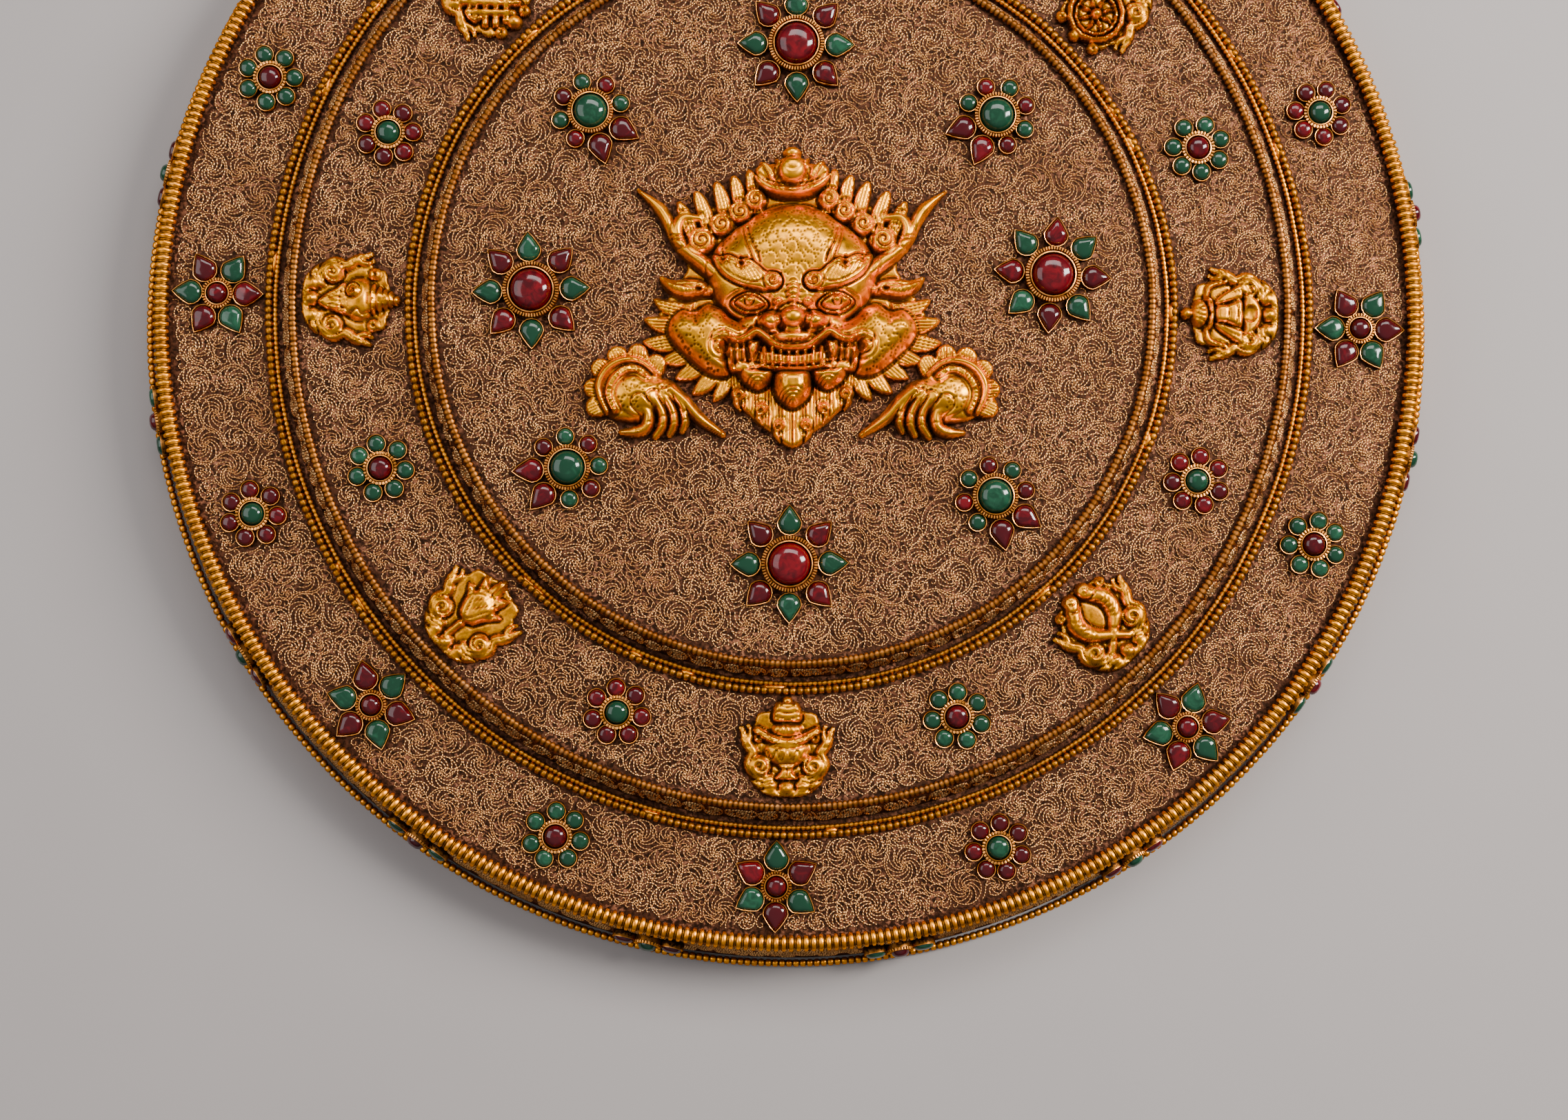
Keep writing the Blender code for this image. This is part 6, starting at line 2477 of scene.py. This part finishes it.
@dataclass(frozen=True)
class Studio:
    """The pale ground, the camera and the soft light."""

    focal: float = 3000.0
    image_width: float = 2274.0
    tilt: tuple[float, float] = (-2.948, 1.312)
    shift: Triple = (1.79, 69.62, -607.81)
    horizon: float = 0.17
    zenith: float = 0.70
    sensor: float = 36.0
    aim: Triple = (0.0, 0.0, 0.02)
    ground: float = 3.0
    drop: float = 0.0004

    def camera(self) -> None:
        """Set the camera where the photograph was taken from."""
        turn = radians(hypot(*self.tilt))
        axis = (self.tilt[0], self.tilt[1], 0.0)
        view = Matrix.Rotation(turn, 4, axis)
        view.translation = [MM * part for part in self.shift]
        data = bpy.data.cameras.new("camera")
        data.sensor_width = self.sensor
        data.lens = self.sensor * self.focal / self.image_width
        data.clip_start, data.clip_end = 0.01, 20.0
        data.dof.use_dof = False
        camera = bpy.data.objects.new("camera", data)
        camera.matrix_world = view.inverted()
        bpy.context.scene.collection.objects.link(camera)
        bpy.context.scene.camera = camera

    def softbox(self, name: str, spot: Triple, size: Point, power: float, colour: Colour) -> None:
        """Hang a softbox that faces the plaque.

        Args:
            name: its name.
            spot: where it hangs, in metres.
            size: its width and height.
            power: its power in watts.
            colour: its colour.
        """
        data = bpy.data.lights.new(name, "AREA")
        data.shape, data.size, data.size_y = "RECTANGLE", *size
        data.energy, data.color = power, colour
        lamp = bpy.data.objects.new(name, data)
        lamp.location = spot
        away = lamp.location - Matrix.Translation(self.aim).translation
        lamp.rotation_euler = away.to_track_quat("Z", "Y").to_euler()
        bpy.context.scene.collection.objects.link(lamp)

    def build(self) -> None:
        """Set the floor, the lights and the camera."""
        mesh = bpy.data.meshes.new("studio_ground")
        corners = [
            (x * self.ground, y * self.ground, -self.drop) for x, y in ((-1, -1), (1, -1), (1, 1), (-1, 1))
        ]
        mesh.from_pydata(corners, [], [(0, 1, 2, 3)])
        mesh.materials.append(StudioPaper().build())
        floor = bpy.data.objects.new("studio_ground", mesh)
        bpy.context.scene.collection.objects.link(floor)
        self.softbox("window_right", (0.95, 0.30, 0.85), (0.30, 0.75), 32.0, (1.0, 0.97, 0.93))
        self.softbox("broad_left", (-0.85, 0.15, 0.75), (0.9, 0.9), 6.5, (0.98, 0.98, 1.0))
        self.softbox("overhead", (0.15, 0.85, 1.15), (1.0, 0.5), 12.0, (1.0, 0.98, 0.96))
        self.surroundings()
        self.camera()

    def surroundings(self) -> None:
        """Set the even light of the room, brightest overhead."""
        world = bpy.data.worlds.new("studio")
        world.use_nodes = True
        tree = world.node_tree
        backdrop = tree.nodes["Background"]
        backdrop.inputs["Color"].default_value = (0.62, 0.62, 0.63, 1.0)
        direction = tree.nodes.new("ShaderNodeTexCoord").outputs["Generated"]
        parts = tree.nodes.new("ShaderNodeSeparateXYZ")
        ramp = tree.nodes.new("ShaderNodeMapRange")
        ramp.interpolation_type = "SMOOTHSTEP"
        for key, value in {
            "From Min": 0.1, "From Max": 1.0, "To Min": self.horizon, "To Max": self.zenith,
        }.items():
            ramp.inputs[key].default_value = value
        tree.links.new(direction, parts.inputs[0])
        tree.links.new(parts.outputs["Z"], ramp.inputs["Value"])
        tree.links.new(ramp.outputs["Result"], backdrop.inputs["Strength"])
        bpy.context.scene.world = world


def main() -> None:
    """Dress the plaque and set its studio."""
    logging.basicConfig(level=logging.INFO, format="%(message)s")
    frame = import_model()
    LOG.info("frame loaded: %s", type(frame).__name__)
    bench = {
        "copper": CopperSheet().build(),
        "wire": TwistedWire().build(),
        "relief": Gilt(
            "fire_gilt_relief", crest=(1.0, 0.395, 0.0), mid=(0.84, 0.340, 0.0), patina_and_shade=(0.165, 0.062, 0.002),
            rough=(0.24, 0.42), patch=(0.56, 0.200, 0.002), patches=0.6,
        ).build(),
        "symbol": Gilt(
            "amber_gilt_symbols", crest=(1.0, 0.395, 0.0), mid=(0.72, 0.262, 0.0),
            patina_and_shade=(0.105, 0.038, 0.0015), rough=(0.24, 0.40), patch=(0.42, 0.140, 0.002), patches=0.6,
        ).build(),
        "bright": Gilt(
            "bright_gilt_rope", crest=(1.0, 0.370, 0.012), mid=(0.80, 0.262, 0.008),
            patina_and_shade=(0.066, 0.020, 0.001), rough=(0.26, 0.40), patch=(0.80, 0.36, 0.10), patches=0.35,
        ).build(),
        "dull": Gilt(
            "worn_gilt_rope", crest=(0.42, 0.150, 0.027), mid=(0.26, 0.080, 0.012),
            patina_and_shade=(0.035, 0.011, 0.003), rough=(0.32, 0.50), patch=(0.50, 0.24, 0.09), patches=0.5,
        ).build(),
        "bezel": Gilt(
            "pale_gilt_bezel", crest=(1.0, 0.40, 0.085), mid=(0.62, 0.22, 0.032),
            patina_and_shade=(0.018, 0.007, 0.003), rough=(0.25, 0.4), patch=(0.62, 0.27, 0.07), patches=0.4,
        ).build(),
        "green": Cabochon("green_stone", (0.004, 0.034, 0.015), (0.030, 0.155, 0.078)).build(),
        "red": Cabochon("red_stone", (0.045, 0.0, 0.002), (0.310, 0.003, 0.010)).build(),
    }
    for tier in (
        Tier("lower_drum", "lower_tier", LOWER_FOOT, LOWER_TOP, 0.0, LOWER_LEVEL),
        Tier("middle_drum", "middle_tier", MIDDLE_FOOT, MIDDLE_TOP, LOWER_LEVEL - TIER_SEAT, MIDDLE_LEVEL),
        Tier("upper_drum", "upper_tier", UPPER_FOOT, UPPER_TOP, MIDDLE_LEVEL - TIER_SEAT, UPPER_LEVEL),
    ):
        tier.build(bench["copper"])
    Ropes().build(bench["bright"], bench["dull"])
    flowers = Flowers(bench)
    flowers.lower()
    flowers.middle()
    flowers.upper()
    bosses = Bosses()
    bosses.build(bench)
    mask_spots = CheppuMask().build(bench["relief"])
    hand_spots = Hands().build(bench["relief"])
    symbol_spots = Symbols().build(bench["symbol"])
    for name, level, inner, outer, seed, spots in (
        ("lower", LOWER_LEVEL, MIDDLE_FOOT + BASE_BAND, LOWER_EDGE, 31, np.zeros((0, 3))),
        ("middle", MIDDLE_LEVEL, UPPER_FOOT + BASE_BAND, MIDDLE_EDGE, 32, symbol_spots),
        ("upper", UPPER_LEVEL, -1.0, UPPER_EDGE, 33, np.vstack([mask_spots, hand_spots])),
    ):
        ledge = Ledge(f"{name}_filigree", level, inner, outer, seed)
        for disc in flowers.discs[name]:
            ledge.plot.take(*disc)
        for x, y, _ in spots:
            ledge.plot.take(x, y, RELIEF_ROOM)
        ledge.build(bench["wire"])
    outer = ("outer_wall_filigree", LOWER_FOOT, LOWER_TOP, 0.0, LOWER_LEVEL)
    wall = WallScroll(
        *outer, margins=(3.0, 0.2), sizes=((3.6, 2.6), (2.4, 1.9)), least=2.2, seed=34, spacing=1.45,
    )
    wall.build(bench["wire"], bosses.openings())
    for seed, inner in (
        (35, ("middle_wall_filigree", MIDDLE_FOOT, MIDDLE_TOP, LOWER_LEVEL, MIDDLE_LEVEL)),
        (36, ("upper_wall_filigree", UPPER_FOOT, UPPER_TOP, MIDDLE_LEVEL, UPPER_LEVEL)),
    ):
        wall = WallScroll(*inner, margins=(0.7, 0.2), sizes=((3.2, 2.4),), least=1.2, seed=seed)
        wall.build(bench["wire"])
    Studio().build()
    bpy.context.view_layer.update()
    meshes = [
        item for item in bpy.context.scene.objects if item.type == "MESH" and item.name != "studio_ground"
    ]
    LOG.info("%d pieces, %d faces", len(meshes), sum(len(item.data.polygons) for item in meshes))


if __name__ == "__main__":
    main()
